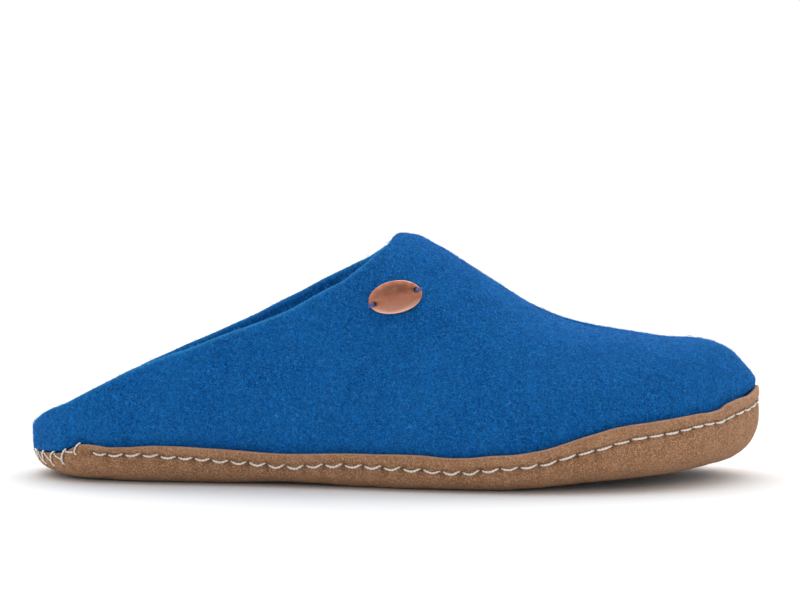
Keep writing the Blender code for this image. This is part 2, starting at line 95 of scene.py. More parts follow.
Ridge = namedtuple("Ridge", "x height offset")
RIDGE = (
    Ridge(0.0, 155.0, 0.0),
    Ridge(60.0, 147.0, 0.5),
    Ridge(86.0, 131.0, 2.0),
    Ridge(101.0, 117.8, 3.5),
    Ridge(117.0, 103.2, 5.0),
    Ridge(127.0, 96.8, 6.0),
    Ridge(134.0, 93.0, 6.0),
    Ridge(139.8, 92.0, 6.0),
    Ridge(144.8, 94.6, 6.0),
    Ridge(149.5, 94.3, 6.0),
    Ridge(158.9, 90.1, 5.8),
    Ridge(170.7, 83.4, 5.4),
    Ridge(182.4, 76.0, 5.0),
    Ridge(194.1, 68.3, 4.4),
    Ridge(206.0, 62.7, 3.8),
    Ridge(217.6, 59.0, 3.0),
    Ridge(235.0, 56.0, 1.6),
    Ridge(252.0, 54.2, 0.0),
    Ridge(282.0, 54.1, 0.0),
)
TOE_ROUND_X, TOE_ROUND_POWER = 248.5, 2.95

Collar = namedtuple("Collar", "x lateral medial")
COLLAR = (
    Collar(0.0, 19.9, 19.9),
    Collar(5.0, 21.9, 21.0),
    Collar(9.3, 24.7, 22.7),
    Collar(20.0, 31.0, 28.8),
    Collar(43.9, 43.0, 41.7),
    Collar(71.4, 54.0, 54.2),
    Collar(100.5, 65.0, 68.4),
    Collar(116.5, 72.9, 76.9),
    Collar(125.0, 77.7, 81.3),
    Collar(131.5, 83.6, 84.9),
    Collar(135.5, 87.9, 88.3),
    Collar(138.4, 90.2, 90.3),
    Collar(139.8, 92.0, 92.0),
)

Foot = namedtuple("Foot", "x under widest corner edge swell")
FOOT = (
    Foot(3.4, 2.4, 9.2, 8.0, 9.6, 3.2),
    Foot(14.0, 1.2, 9.1, 8.0, 10.4, 3.0),
    Foot(24.0, 0.4, 9.4, 8.2, 14.3, 2.6),
    Foot(46.0, 0.0, 9.8, 8.4, 15.7, 2.3),
    Foot(78.0, 0.0, 9.5, 8.4, 14.9, 2.1),
    Foot(105.0, 0.9, 10.0, 8.4, 14.2, 2.0),
    Foot(135.0, 0.0, 9.6, 8.4, 15.0, 1.9),
    Foot(165.0, 0.0, 9.4, 8.4, 13.8, 1.8),
    Foot(185.0, 0.0, 9.8, 8.6, 14.8, 1.7),
    Foot(200.0, 0.9, 11.4, 9.6, 17.2, 1.5),
    Foot(217.0, 2.4, 13.6, 11.0, 22.2, 1.1),
    Foot(235.0, 3.3, 15.6, 12.4, 25.7, 0.8),
    Foot(252.0, 4.2, 17.6, 13.5, 27.9, 0.4),
    Foot(268.0, 5.4, 20.2, 14.3, 30.4, 0.4),
    Foot(276.0, 6.0, 21.6, 14.3, 33.0, 0.7),
    Foot(282.0, 6.6, 22.6, 14.3, 35.0, 4.6),
)

Round = namedtuple("Round", "x lateral medial")
ROUND = (
    Round(0.0, 2.0, 2.0),
    Round(140.0, 1.9, 2.1),
    Round(200.0, 2.0, 2.2),
    Round(255.0, 2.25, 2.35),
)

# The hand-cut edge of the suede: how far it strays up and down, and how far
# it stands away from the felt.
Cut = namedtuple("Cut", "x lateral medial flare")
CUT = (
    Cut(0.0, -0.4, -0.4, 0.0),
    Cut(12.0, 0.0, 0.0, 0.0),
    Cut(19.0, -0.6, -0.5, 0.0),
    Cut(25.0, 0.1, 0.0, 0.0),
    Cut(30.0, -0.55, -0.5, 0.15),
    Cut(36.0, -1.65, -0.9, 0.2),
    Cut(42.0, -1.65, -1.2, 0.2),
    Cut(48.0, -1.2, -0.8, 0.2),
    Cut(54.0, -0.75, -0.6, 0.2),
    Cut(64.0, -0.65, -0.9, 0.2),
    Cut(73.0, -0.8, -1.2, 0.2),
    Cut(86.0, -1.05, -0.7, 0.2),
    Cut(100.0, -1.4, -0.9, 0.2),
    Cut(120.0, -1.3, -1.3, 0.2),
    Cut(137.0, -1.4, -0.8, 0.2),
    Cut(150.0, -0.6, -0.9, 0.2),
    Cut(158.0, -0.3, -0.6, 0.25),
    Cut(165.0, -0.75, -1.1, 0.25),
    Cut(174.0, -0.9, -0.8, 0.3),
    Cut(183.0, -0.55, -1.2, 0.3),
    Cut(194.0, -1.1, -0.6, 0.35),
    Cut(211.0, -1.45, -1.0, 0.4),
    Cut(220.0, -1.2, -1.3, 0.4),
    Cut(229.0, -0.65, -0.8, 0.4),
    Cut(240.0, -0.95, -1.1, 0.4),
    Cut(250.0, -1.05, -0.7, 0.4),
    Cut(258.0, -1.15, -1.2, 0.45),
    Cut(264.0, -1.75, -0.6, 0.3),
    Cut(267.0, -1.8, -1.0, 0.35),
    Cut(270.0, -0.7, -1.4, 0.5),
    Cut(274.0, -0.9, -0.7, 0.35),
    Cut(277.5, -1.5, -1.0, 0.8),
    Cut(282.0, 0.4, 0.4, 1.5),
)

# The running stitches: distance below the suede's edge, and pitch.
Stitch = namedtuple("Stitch", "x drop pitch")
STITCH = (
    Stitch(29.0, 2.9, 6.5),
    Stitch(36.0, 2.7, 6.6),
    Stitch(45.0, 3.0, 6.8),
    Stitch(57.0, 3.9, 6.7),
    Stitch(75.0, 4.2, 7.0),
    Stitch(100.0, 4.0, 7.2),
    Stitch(130.0, 4.1, 7.6),
    Stitch(150.0, 4.9, 7.9),
    Stitch(170.0, 4.8, 7.6),
    Stitch(190.0, 4.7, 7.4),
    Stitch(207.0, 5.0, 7.4),
    Stitch(222.0, 5.8, 6.8),
    Stitch(240.0, 5.1, 6.8),
    Stitch(255.0, 4.8, 5.9),
    Stitch(263.0, 4.0, 6.3),
    Stitch(268.0, 4.6, 6.3),
    Stitch(271.5, 5.1, 6.2),
    Stitch(276.0, 4.8, 5.8),
    Stitch(283.0, 5.0, 5.3),
)

# Soft folds and hollows pressed into the felt by hand: a line from one point
# to another on the upper, how wide and how deep it is (below 0 is a ridge).
Crease = namedtuple("Crease", "side x1 z1 x2 z2 width depth")
CREASES = (
    Crease(-1, 152.0, 78.0, 214.0, 40.0, 13.0, 0.9),
    Crease(-1, 176.0, 74.0, 238.0, 44.0, 11.0, -0.2),
    Crease(-1, 96.0, 44.0, 150.0, 30.0, 15.0, 0.7),
    Crease(-1, 30.0, 27.0, 74.0, 34.0, 10.0, 0.5),
    Crease(-1, 200.0, 56.0, 250.0, 34.0, 12.0, 0.5),
    Crease(1, 150.0, 80.0, 210.0, 42.0, 13.0, 0.9),
    Crease(1, 90.0, 48.0, 150.0, 34.0, 14.0, 0.8),
    Crease(1, 182.0, 70.0, 236.0, 44.0, 12.0, -0.2),
    Crease(1, 34.0, 28.0, 76.0, 33.0, 10.0, 0.5),
)


# ------------------------------------------------------------ plain maths
def smooth_step(value):
    value = np.clip(value, 0.0, 1.0)
    return value * value * (3.0 - 2.0 * value)


def column(table, name):
    """A smooth function of x through one column of a table, with no overshoot."""
    xs = np.array([row.x for row in table])
    ys = np.array([getattr(row, name) for row in table])
    steps, rises = np.diff(xs), np.diff(ys) / np.diff(xs)
    slopes = np.zeros(len(xs))
    for i in range(1, len(xs) - 1):
        a, b = rises[i - 1], rises[i]
        if a * b > 0.0:
            w1 = 2.0 * steps[i] + steps[i - 1]
            w2 = steps[i] + 2.0 * steps[i - 1]
            slopes[i] = (w1 + w2) / (w1 / a + w2 / b)
    slopes[0], slopes[-1] = rises[0], rises[-1]

    def value(x):
        x = np.clip(np.asarray(x, float), xs[0], xs[-1])
        k = np.clip(np.searchsorted(xs, x, side="right") - 1, 0, len(xs) - 2)
        h = steps[k]
        u = (x - xs[k]) / h
        return (
            ys[k] * (1 + 2 * u) * (1 - u) ** 2
            + slopes[k] * h * u * (1 - u) ** 2
            + ys[k + 1] * u * u * (3 - 2 * u)
            + slopes[k + 1] * h * u * u * (u - 1)
        )

    return value


def run_of(points):
    """Distance along a polyline to each of its points."""
    steps = np.linalg.norm(np.diff(points, axis=0), axis=1)
    return np.concatenate([[0.0], np.cumsum(steps)])


def at_run(points, wanted):
    """Points at these distances along a polyline."""
    points = np.asarray(points, float)
    run = run_of(points)
    return np.stack(
        [np.interp(wanted, run, points[:, i]) for i in range(points.shape[1])], axis=1
    )


def along(points, shares):
    points = np.asarray(points, float)
    return at_run(points, np.asarray(shares) * run_of(points)[-1])


def unit(vectors):
    return vectors / np.maximum(np.linalg.norm(vectors, axis=-1, keepdims=True), 1e-12)


def closed_curve(points, per_span=40):
    """A smooth closed curve through the points (Catmull-Rom, centripetal)."""
    points = np.asarray(points, float)
    count = len(points)
    out = []
    for i in range(count):
        p = [points[(i + k - 1) % count] for k in range(4)]
        t = [0.0]
        for k in range(3):
            t.append(t[-1] + math.sqrt(np.linalg.norm(p[k + 1] - p[k])))
        for s in range(per_span):
            u = t[1] + (t[2] - t[1]) * s / per_span
            a = [
                (t[k + 1] - u) / (t[k + 1] - t[k]) * p[k]
                + (u - t[k]) / (t[k + 1] - t[k]) * p[k + 1]
                for k in range(3)
            ]
            b = [
                (t[k + 2] - u) / (t[k + 2] - t[k]) * a[k]
                + (u - t[k]) / (t[k + 2] - t[k]) * a[k + 1]
                for k in range(2)
            ]
            out.append(
                (t[2] - u) / (t[2] - t[1]) * b[0] + (u - t[1]) / (t[2] - t[1]) * b[1]
            )
    return np.array(out)


# ---------------------------------------------------------------- the last
ridge_height = column(RIDGE, "height")
ridge_offset = column(RIDGE, "offset")
collar_table = {-1: column(COLLAR, "lateral"), 1: column(COLLAR, "medial")}
under = column(FOOT, "under")
widest = column(FOOT, "widest")
corner = column(FOOT, "corner")
edge_table = column(FOOT, "edge")
swell = column(FOOT, "swell")
power = {-1: column(ROUND, "lateral"), 1: column(ROUND, "medial")}
cut_wave = {-1: column(CUT, "lateral"), 1: column(CUT, "medial")}
flare = column(CUT, "flare")
stitch_drop = column(STITCH, "drop")
stitch_pitch = column(STITCH, "pitch")


def collar_height(side, x):
    """The collar's edge, with the slight waver of a line cut by hand."""
    waver = 0.15 * np.sin(x / 5.3 + 1.1 * side) + 0.14 * np.sin(x / 9.7 + 2.0)
    waver += 0.07 * np.sin(x / 2.9 + 0.4 * side)
    fade = smooth_step((THROAT_X - x) / 8.0) * smooth_step((x - 3.0) / 12.0)
    rounding = (0.95 - 0.15 * side) * smooth_step((x - 12.0) / 22.0)
    rounding *= smooth_step((THROAT_X - 2.0 - x) / 14.0)
    low_back = 0.5 * smooth_step((5.0 - x) / 3.0)
    corner_up = 1.3 * np.exp(-(((x - 10.0) / 6.0) ** 2)) * smooth_step((x - 2.5) / 4.5)
    drawn_in = 0.6 * np.exp(-(((x - 71.0) / 18.0) ** 2)) + 0.4 * np.exp(-(((x - 105.0) / 10.0) ** 2))
    return collar_table[side](x) + waver * fade + rounding - low_back + corner_up - drawn_in


def outline_halves():
    ring = [(FORM_TIP, TIP_Y)]
    ring += [(row.x, row.lateral) for row in reversed(OUTLINE)]
    ring += [(FORM_BACK, 0.0)]
    ring += [(row.x, row.medial) for row in OUTLINE]
    curve = closed_curve(ring)
    curve = np.roll(curve, -int(np.argmax(curve[:, 0])), axis=0)
    heel = int(np.argmin(curve[:, 0]))
    lateral = curve[: heel + 1]
    medial = np.concatenate([curve[heel:], curve[:1]])[::-1]
    return lateral, medial


LATERAL, MEDIAL = outline_halves()
HALF = {-1: LATERAL, 1: MEDIAL}
SORTED = {side: HALF[side][np.argsort(HALF[side][:, 0])] for side in (-1, 1)}


def side_y(x, side):
    return np.interp(x, SORTED[side][:, 0], SORTED[side][:, 1])


def centre_y(x):
    return 0.5 * (side_y(x, -1) + side_y(x, 1))


def ridge_y(x):
    return centre_y(x) + ridge_offset(x)


def top_height(x):
    """Height of the ridge, rounded down over the toe to the widest line."""
    x = np.asarray(x, float)
    u = np.clip((x - TOE_ROUND_X) / (FORM_TIP - TOE_ROUND_X), 0.0, 1.0)
    fall = (1.0 - u**TOE_ROUND_POWER) ** (1.0 / TOE_ROUND_POWER)
    return widest(x) + (ridge_height(x) - widest(x)) * fall


def rise(share_in, x, side):
    p = power[side](x)
    return np.clip(1.0 - np.clip(share_in, 0.0, 1.0) ** p, 0.0, 1.0) ** (1.0 / p)


def reach(share_up, x, side):
    p = power[side](x)
    return np.clip(1.0 - np.clip(share_up, 0.0, 1.0) ** p, 0.0, 1.0) ** (1.0 / p)


class Half:
    """One half of the outline, by share of its length from toe tip to heel."""

    def __init__(self, side):
        self.fine = along(HALF[side], np.linspace(0.0, 1.0, 1601))
        step = np.gradient(self.fine, axis=0)
        normal = unit(np.stack([step[:, 1], -step[:, 0]], axis=1) * side)
        normal[0], normal[-1] = (1.0, 0.0), (-1.0, 0.0)
        self.normal = normal

    def at(self, share):
        index = np.asarray(share) * 1600.0
        base = np.arange(1601)
        point = np.stack([np.interp(index, base, self.fine[:, k]) for k in (0, 1)], -1)
        out = np.stack([np.interp(index, base, self.normal[:, k]) for k in (0, 1)], -1)
        return point, unit(out)

    def share_of_x(self, x):
        order = np.argsort(self.fine[:, 0])
        return np.interp(x, self.fine[order, 0], np.linspace(0, 1, 1601)[order])


SIDES = {-1: Half(-1), 1: Half(1)}


def wall_point(side, share, up):
    """The form's wall at a share of the outline and a share of the height."""
    base, out = SIDES[side].at(share)
    x = base[..., 0]
    left = reach(up, x, side)
    z = widest(x) + (ridge_height(x) - widest(x)) * up
    lean = 35.0 * (1.0 - left)
    heel = base - out * lean[..., None]
    y = ridge_y(x) + (base[..., 1] - ridge_y(x)) * left
    front = np.stack([x, y], -1)
    mix = smooth_step((x - 40.0) / 45.0)[..., None]
    plan = heel * (1.0 - mix) + front * mix
    return np.concatenate([plan, z[..., None]], -1)


def collar_up(side, share):
    x = SIDES[side].at(share)[0][..., 0]
    z = collar_height(side, x)
    return np.clip((z - widest(x)) / (ridge_height(x) - widest(x)), 0.0, 1.0)


def collar_curve(side):
    start = SIDES[side].share_of_x(THROAT_X)
    shares = start + (1.0 - start) * np.linspace(0.0, 1.0, 1200) ** 2.2
    return shares, wall_point(side, shares, collar_up(side, shares))


def swollen(x, lift):
    """Share of the swell reached at a lift above the suede's edge.

    Along the sides it comes in slowly; at the heel and the toe tip the felt
    comes over the suede's edge at once.
    """
    slow = smooth_step(lift / 5.0)
    heel = 1.0 - smooth_step((x - 12.0) / 14.0)
    tip = 1.0 - smooth_step((280.0 - x) / 9.0)
    quick = smooth_step(lift / 0.6)
    at_heel = 0.95 * quick + 0.05 * slow
    at_tip = 0.60 * quick + 0.40 * slow
    return slow * (1.0 - heel - tip) + at_heel * heel + at_tip * tip


def rib(side, share, target, keel, wall_only_foot=False):
    """One rib of the form: flat, curl, foot and body runs, as in the solids."""
    base, out = SIDES[side].at(share)
    low = widest(base[0])
    turn = np.linspace(0.0, 0.5 * math.pi, 25)
    plan = base - out * (corner(base[0]) * (1.0 - np.cos(turn)))[:, None]
    floor = under(plan[:, 0]) + LINER
    z = low - (low - floor) * np.sin(turn)
    curl = np.concatenate([plan, z[:, None]], 1)[::-1]
    steps = np.linspace(0.0, 1.0, 17)[:, None]
    plan = keel[:2] + (curl[0, :2] - keel[:2]) * steps
    flat = np.concatenate([plan, (under(plan[:, 0]) + LINER)[:, None]], 1)

    if target[0] == "ridge":
        end = np.array([target[1], ridge_y(target[1])])
        run = (np.linspace(0.0, 1.0, 241) ** 3)[:, None]
        plan = base + (end - base) * run
        x = plan[:, 0]
        middle = ridge_y(x)
        width = np.maximum(np.abs(side_y(x, side) - middle), 1e-6)
        left = np.clip(np.abs(plan[:, 1] - middle) / width, 0.0, 1.0)
        left[0] = 1.0 if 0.0 < share else 0.0
        z = widest(x) + (top_height(x) - widest(x)) * rise(left, x, side)
        z[0] = low
        wall = np.concatenate([plan, z[:, None]], 1)
    else:
        end_share, end_up = target[1], target[2]
        last = math.asin(min(1.0, end_up))
        turn = np.linspace(0.0, last, 241)
        left, up = np.cos(turn), np.sin(turn)
        moved = (1.0 - left) / max(1.0 - left[-1], 1e-9)
        wall = wall_point(side, share + (end_share - share) * moved, up)
        wall[-1] = wall_point(side, np.array([end_share]), np.array([end_up]))[0]

    def edge_at(x):
        return edge_table(x) + cut_wave[side](x) + (0.0 if wall_only_foot else EDGE_GAP)

    edge = edge_at(wall[:, 0])
    above = int(np.argmax(wall[:, 2] > edge))
    a, b = wall[above - 1], wall[above]
    mix = (edge[above] - a[2]) / (b[2] - a[2])
    cut = a + (b - a) * float(np.clip(mix, 0.02, 0.98))
    foot = np.concatenate([wall[:above], cut[None]])
    if wall_only_foot:
        return flat, curl, foot, None
    body = np.concatenate([cut[None], wall[above:]])
    lift = body[:, 2] - edge_at(body[:, 0])
    amount = swell(body[:, 0]) * swollen(body[:, 0], lift)
    amount *= 1.0 - smooth_step((lift - 12.0) / 35.0)
    body[:, :2] += out * amount[:, None]
    return flat, curl, foot, body


def ribs(count, wall_only_foot=False):
    """Every rib, in ring order: toe tip, lateral side, heel, medial side.

    Behind the throat the ribs of the felt stand under their place on the
    collar, so they meet its edge squarely.
    """
    half = count // 2
    u = np.linspace(0.0, 1.0, half + 1)
    even = u - 0.055 * np.sin(2.0 * math.pi * u)
    front = half // 2
    shares, tops = {-1: even, 1: even}, {}
    for side in (-1, 1):
        curve_share, curve = collar_curve(side)
        run = run_of(curve)
        at = (np.arange(half - front + 1) / (half - front)) ** 1.15
        tops[side] = np.interp(at * run[-1], run, curve_share)
        if not wall_only_foot:
            start = tops[side][0]
            square = (tops[side] - start) / (1.0 - start)
            square = even[front] + (1.0 - even[front]) * square
            back = 0.7 * square + 0.3 * even[front:]
            shares[side] = np.concatenate([even[:front], back])
    spine = THROAT_X + (SPINE_TOE_X - THROAT_X) * np.linspace(1.0, 0.0, front + 1) ** 1.3
    middles = []
    for k in range(half + 1):
        ends = []
        for side in (-1, 1):
            base, out = SIDES[side].at(shares[side][k])
            ends.append(base[0] - out[0] * corner(base[0]))
        middles.append(0.5 * sum(ends))
    middles = np.array(middles)
    keel_x = KEEL_HEEL_X + (KEEL_TOE_X - KEEL_HEEL_X) * (middles - middles[-1]) / (
        middles[0] - middles[-1]
    )
    made = {}
    for side in (-1, 1):
        for k in range(half + 1):
            keel = np.array([keel_x[k], centre_y(keel_x[k])])
            if k <= front:
                target = ("ridge", spine[k])
            else:
                share = float(tops[side][k - front])
                up = float(collar_up(side, np.array([share]))[0])
                target = ("collar", share, up)
            made[side, k] = rib(side, shares[side][k], target, keel, wall_only_foot)
    order = [(-1, k) for k in range(half + 1)] + [(1, k) for k in range(half - 1, 0, -1)]
    return [made[key] for key in order], order, shares


# ------------------------------------------------------------ mesh helpers
def ladder(rows, join_first, join_last, keep_last=None):
    """Points, faces and the index of each row's points, joined on centre lines."""
    count = len(rows[0])
    points, index = [], []
    for r, row in enumerate(rows):
        shared = (r == 0 and join_first) or (r == len(rows) - 1 and join_last)
        names = [0] * count
        for i in range(count):
            other = (count - i) % count
            if shared and other < i and (keep_last is None or keep_last(i)):
                names[i] = names[other]
            else:
                names[i] = len(points)
                points.append(row[i])
        index.append(names)
    faces = []
    for r in range(len(rows) - 1):
        for i in range(count):
            j = (i + 1) % count
            loop = [index[r][i], index[r][j], index[r + 1][j], index[r + 1][i]]
            tidy = [v for n, v in enumerate(loop) if v != loop[n - 1]]
            if len(set(tidy)) > 2:
                faces.append(tidy)
    return np.array(points), faces, index


def mesh_of(name, points, faces):
    mesh = bpy.data.meshes.new(name)
    mesh.from_pydata([tuple(p) for p in np.asarray(points) * MM], [], faces)
    mesh.update()
    return mesh


def normals_of(points, faces, inside):
    """Vertex normals of an open sheet, pointing away from a point inside it.

    Also says whether the faces had to be turned.
    """
    mesh = mesh_of("scratch", points, faces)
    out = np.empty(len(points) * 3, np.float32)
    mesh.vertex_normals.foreach_get("vector", out)
    total = 0.0
    for face in mesh.polygons:
        total += face.area * face.normal.dot(face.center - Vector(inside) * MM)
    bpy.data.meshes.remove(mesh)
    out = out.reshape(-1, 3).astype(float)
    return (-out, True) if total < 0.0 else (out, False)


def shell(points, faces, outer, inner):
    """A closed solid between two sheets with the same faces.

    Where the two sheets meet they share a point, so that edge is rounded.
    Returns points, faces and, for each point, the sheet point it came from.
    """
    count = len(points)
    same = np.linalg.norm(outer - inner, axis=1) < 1e-6
    back = np.arange(count)
    back[~same] = count + np.arange(int((~same).sum()))
    all_points = np.concatenate([outer, inner[~same]])
    source = np.concatenate([np.arange(count), np.arange(count)[~same]])
    all_faces = list(faces)
    uses = {}
    for face in faces:
        for n, v in enumerate(face):
            edge = (face[n - 1], v)
            uses[edge] = uses.get(edge, 0) + 1
        all_faces.append([int(back[v]) for v in reversed(face)])
    for (a, b) in uses:
        if (b, a) in uses:
            continue
        loop = [b, a, int(back[a]), int(back[b])]
        tidy = [v for n, v in enumerate(loop) if v != loop[n - 1]]
        if len(set(tidy)) > 2:
            all_faces.append(tidy)
    return all_points, all_faces, source


def add_piece(name, points, faces, node=None, material=None, layers=None):
    """A finished piece: smooth, riding the part's one body."""
    mesh = mesh_of(name, np.asarray(points) + SHIFT, faces)
    for layer, values in (layers or {}).items():
        made = mesh.attributes.new(layer, "FLOAT", "POINT")
        made.data.foreach_set("value", np.asarray(values, np.float32))
    mesh.shade_smooth()
    obj = bpy.data.objects.new(name, mesh)
    bpy.context.scene.collection.objects.link(obj)
    mesh.materials.append(material)
    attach(obj, "root")
    if node:
        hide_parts(node)
    return obj


def lumps(points, size, seed):
    """Smooth noise, about -1 to 1, at each point; size is in millimetres."""
    move = Vector((seed * 17.3, seed * 5.1, seed * 9.7))
    return np.array([noise.noise(Vector(p) / size + move) for p in points])


def tube(path, radius, sides=8, turn_in=0.55, ends=1.0):
    """Points and faces of a closed round cord along a path.

    Towards its two ends the cord thins to the share ends of its radius.
    """
    path = np.asarray(path, float)
    count = len(path)
    ahead = unit(np.gradient(path, axis=0))
    side = np.cross(ahead[0], [0.0, 0.0, 1.0])
    if np.linalg.norm(side) < 1e-3:
        side = np.cross(ahead[0], [0.0, 1.0, 0.0])
    side = unit(side)
    points = []
    angles = np.linspace(0.0, 2.0 * math.pi, sides, endpoint=False)
    slim = np.sin(math.pi * np.linspace(0.0, 1.0, count)) ** 0.5
    sizes = radius * (ends + (1.0 - ends) * slim)
    sizes[0] = sizes[-1] = sizes[0] * turn_in
    for k in range(count):
        side = unit(side - ahead[k] * float(side @ ahead[k]))
        up = np.cross(ahead[k], side)
        ring = np.cos(angles)[:, None] * side + np.sin(angles)[:, None] * up
        points.append(path[k] + ring * sizes[k])
    points = np.concatenate(points)
    faces = []
    for k in range(count - 1):
        for n in range(sides):
            m = (n + 1) % sides
            a, b = k * sides, (k + 1) * sides
            faces.append([a + n, a + m, b + m, b + n])
    faces.append(list(range(sides))[::-1])
    faces.append([(count - 1) * sides + n for n in range(sides)])
    return points, faces


def plied(path, radius, lay=2.6, start=0.0, ends=1.0):
    """Two strands twisted round each other along a path."""
    path = np.asarray(path, float)
    steps = max(8, int(run_of(path)[-1] / 0.42))
    path = along(path, np.linspace(0.0, 1.0, steps))
    ahead = unit(np.gradient(path, axis=0))
    side = unit(np.cross(ahead, [0.0, 0.0, 1.0]) + 1e-9)
    up = np.cross(side, ahead)
    turn = start + run_of(path) / lay * 2.0 * math.pi
    out = []
    for half in (0.0, math.pi):
        swing = np.cos(turn + half)[:, None] * side + np.sin(turn + half)[:, None] * up
        out.append(tube(path + swing * radius * 0.5, radius * 0.62, 7, ends=ends))
    return out


def join_parts(parts):
    points, faces, base = [], [], 0
    for p, f in parts:
        points.append(p)
        faces += [[v + base for v in face] for face in f]
        base += len(p)
    return np.concatenate(points), faces


# --------------------------------------------------------------- materials
def clean_material(name):
    made = bpy.data.materials.new(name)
    made.use_nodes = True
    tree = made.node_tree
    return made, tree, tree.nodes["Principled BSDF"]


def add(tree, kind, **settings):
    node = tree.nodes.new(kind)
    for key, value in settings.items():
        if hasattr(node, key):
            setattr(node, key, value)
        else:
            node.inputs[key.replace("_", " ")].default_value = value
    return node


def noise_node(tree, where, scale, detail=3.0, rough=0.5, distortion=0.0):
    node = add(tree, "ShaderNodeTexNoise")
    node.inputs["Scale"].default_value = scale
    node.inputs["Detail"].default_value = detail
    node.inputs["Roughness"].default_value = rough
    node.inputs["Distortion"].default_value = distortion
    tree.links.new(where, node.inputs["Vector"])
    return node.outputs["Fac"]


def ranged(tree, value, low, high, to_low=0.0, to_high=1.0, smooth=True):
    node = add(tree, "ShaderNodeMapRange")
    node.interpolation_type = "SMOOTHSTEP" if smooth else "LINEAR"
    tree.links.new(value, node.inputs["Value"])
    for key, number in zip(
        ("From Min", "From Max", "To Min", "To Max"), (low, high, to_low, to_high)
    ):
        node.inputs[key].default_value = number
    return node.outputs["Result"]


def sums(tree, kind, a, b):
    node = add(tree, "ShaderNodeMath", operation=kind)
    for socket, value in zip(node.inputs, (a, b)):
        if isinstance(value, (int, float)):
            socket.default_value = value
        elif value is not None:
            tree.links.new(value, socket)
    return node.outputs[0]


def mixed(tree, share, a, b):
    node = add(tree, "ShaderNodeMix", data_type="RGBA")
    tree.links.new(share, node.inputs[0])
    for socket, value in ((node.inputs[6], a), (node.inputs[7], b)):
        if isinstance(value, tuple):
            socket.default_value = (*value, 1.0)
        else:
            tree.links.new(value, socket)
    return node.outputs[2]


def place(tree):
    return add(tree, "ShaderNodeTexCoord").outputs["Object"]


def bumped(tree, shader, height, strength, distance):
    node = add(tree, "ShaderNodeBump")
    node.inputs["Strength"].default_value = strength
    node.inputs["Distance"].default_value = distance
    tree.links.new(height, node.inputs["Height"])
    tree.links.new(node.outputs["Normal"], shader.inputs["Normal"])


def fibres(tree, where, scale, seed, wide=0.03):
    """Thin curly lines: where a warped noise passes through its middle."""
    moved = add(tree, "ShaderNodeVectorMath", operation="ADD")
    tree.links.new(where, moved.inputs[0])
    moved.inputs[1].default_value = (seed, seed * 0.7, seed * 1.3)
    value = noise_node(tree, moved.outputs[0], scale, 2.0, 0.45, 0.9)
    off = sums(tree, "ABSOLUTE", sums(tree, "SUBTRACT", value, 0.5), None)
    return ranged(tree, off, wide, 0.0)


def felt_material(name, deep, mid, light, sheen):
    """Felted wool: cloudy dye, dark pits, paler curly hairs on top, and a painted highlight along the collar rim."""
    made, tree, shader = clean_material(name)
    where = place(tree)
    cloud = noise_node(tree, where, 55.0, 3.0, 0.55)
    pits = noise_node(tree, where, 1150.0, 3.0, 0.7, 0.5)
    mottle = noise_node(tree, where, 480.0, 3.0, 0.6, 0.5)
    fine = noise_node(tree, where, 1900.0, 2.0, 0.6, 0.6)
    hairs = fibres(tree, where, 430.0, 0.31, 0.022)
    hairs_b = fibres(tree, where, 610.0, 1.73, 0.02)
    hairs_c = fibres(tree, where, 300.0, 2.57, 0.012)
    patch = ranged(tree, noise_node(tree, where, 210.0, 2.0, 0.5), 0.42, 0.64)
    base = mixed(tree, ranged(tree, pits, 0.40, 0.60), deep, mid)
    base = mixed(tree, ranged(tree, mottle, 0.42, 0.66, 0.0, 0.16), base, light)
    base = mixed(tree, ranged(tree, fine, 0.50, 0.66, 0.0, 0.82), base, light)
    base = mixed(tree, ranged(tree, cloud, 0.3, 0.75, 0.0, 0.16), base, light)
    any_hair = sums(tree, "MAXIMUM", hairs, hairs_b)
    any_hair = sums(tree, "MULTIPLY", any_hair, sums(tree, "ADD", patch, 0.35))
    base = mixed(tree, sums(tree, "MULTIPLY", any_hair, 0.42), base, light)
    pale = tuple(min(1.0, c * 1.3 + 0.04) for c in light)
    base = mixed(tree, sums(tree, "MULTIPLY", hairs_c, 0.5), base, pale)
    # Painted highlight: paler blue along the collar rim, standing in for light catching its top.
    nap = add(tree, "ShaderNodeAttribute", attribute_name="painted_rim_highlight").outputs["Fac"]
    nap = sums(tree, "MULTIPLY", nap, ranged(tree, fine, 0.36, 0.62, 0.4, 1.0))
    base = mixed(tree, nap, base, (0.045, 0.36, 0.66))
    tree.links.new(base, shader.inputs["Base Color"])
    tall = sums(tree, "MULTIPLY", any_hair, 0.55)
    tall = sums(tree, "ADD", tall, sums(tree, "MULTIPLY", pits, 0.9))
    tall = sums(tree, "ADD", tall, sums(tree, "MULTIPLY", fine, 0.35))
    tall = sums(tree, "ADD", tall, sums(tree, "MULTIPLY", hairs_c, 0.5))
    bumped(tree, shader, tall, 0.85, 0.0005)
    shader.inputs["Roughness"].default_value = 0.97
    shader.inputs["Specular IOR Level"].default_value = 0.06
    shader.inputs["Sheen Weight"].default_value = sheen
    shader.inputs["Sheen Roughness"].default_value = 0.42
    shader.inputs["Sheen Tint"].default_value = (0.18, 0.62, 0.95, 1.0)
    return made


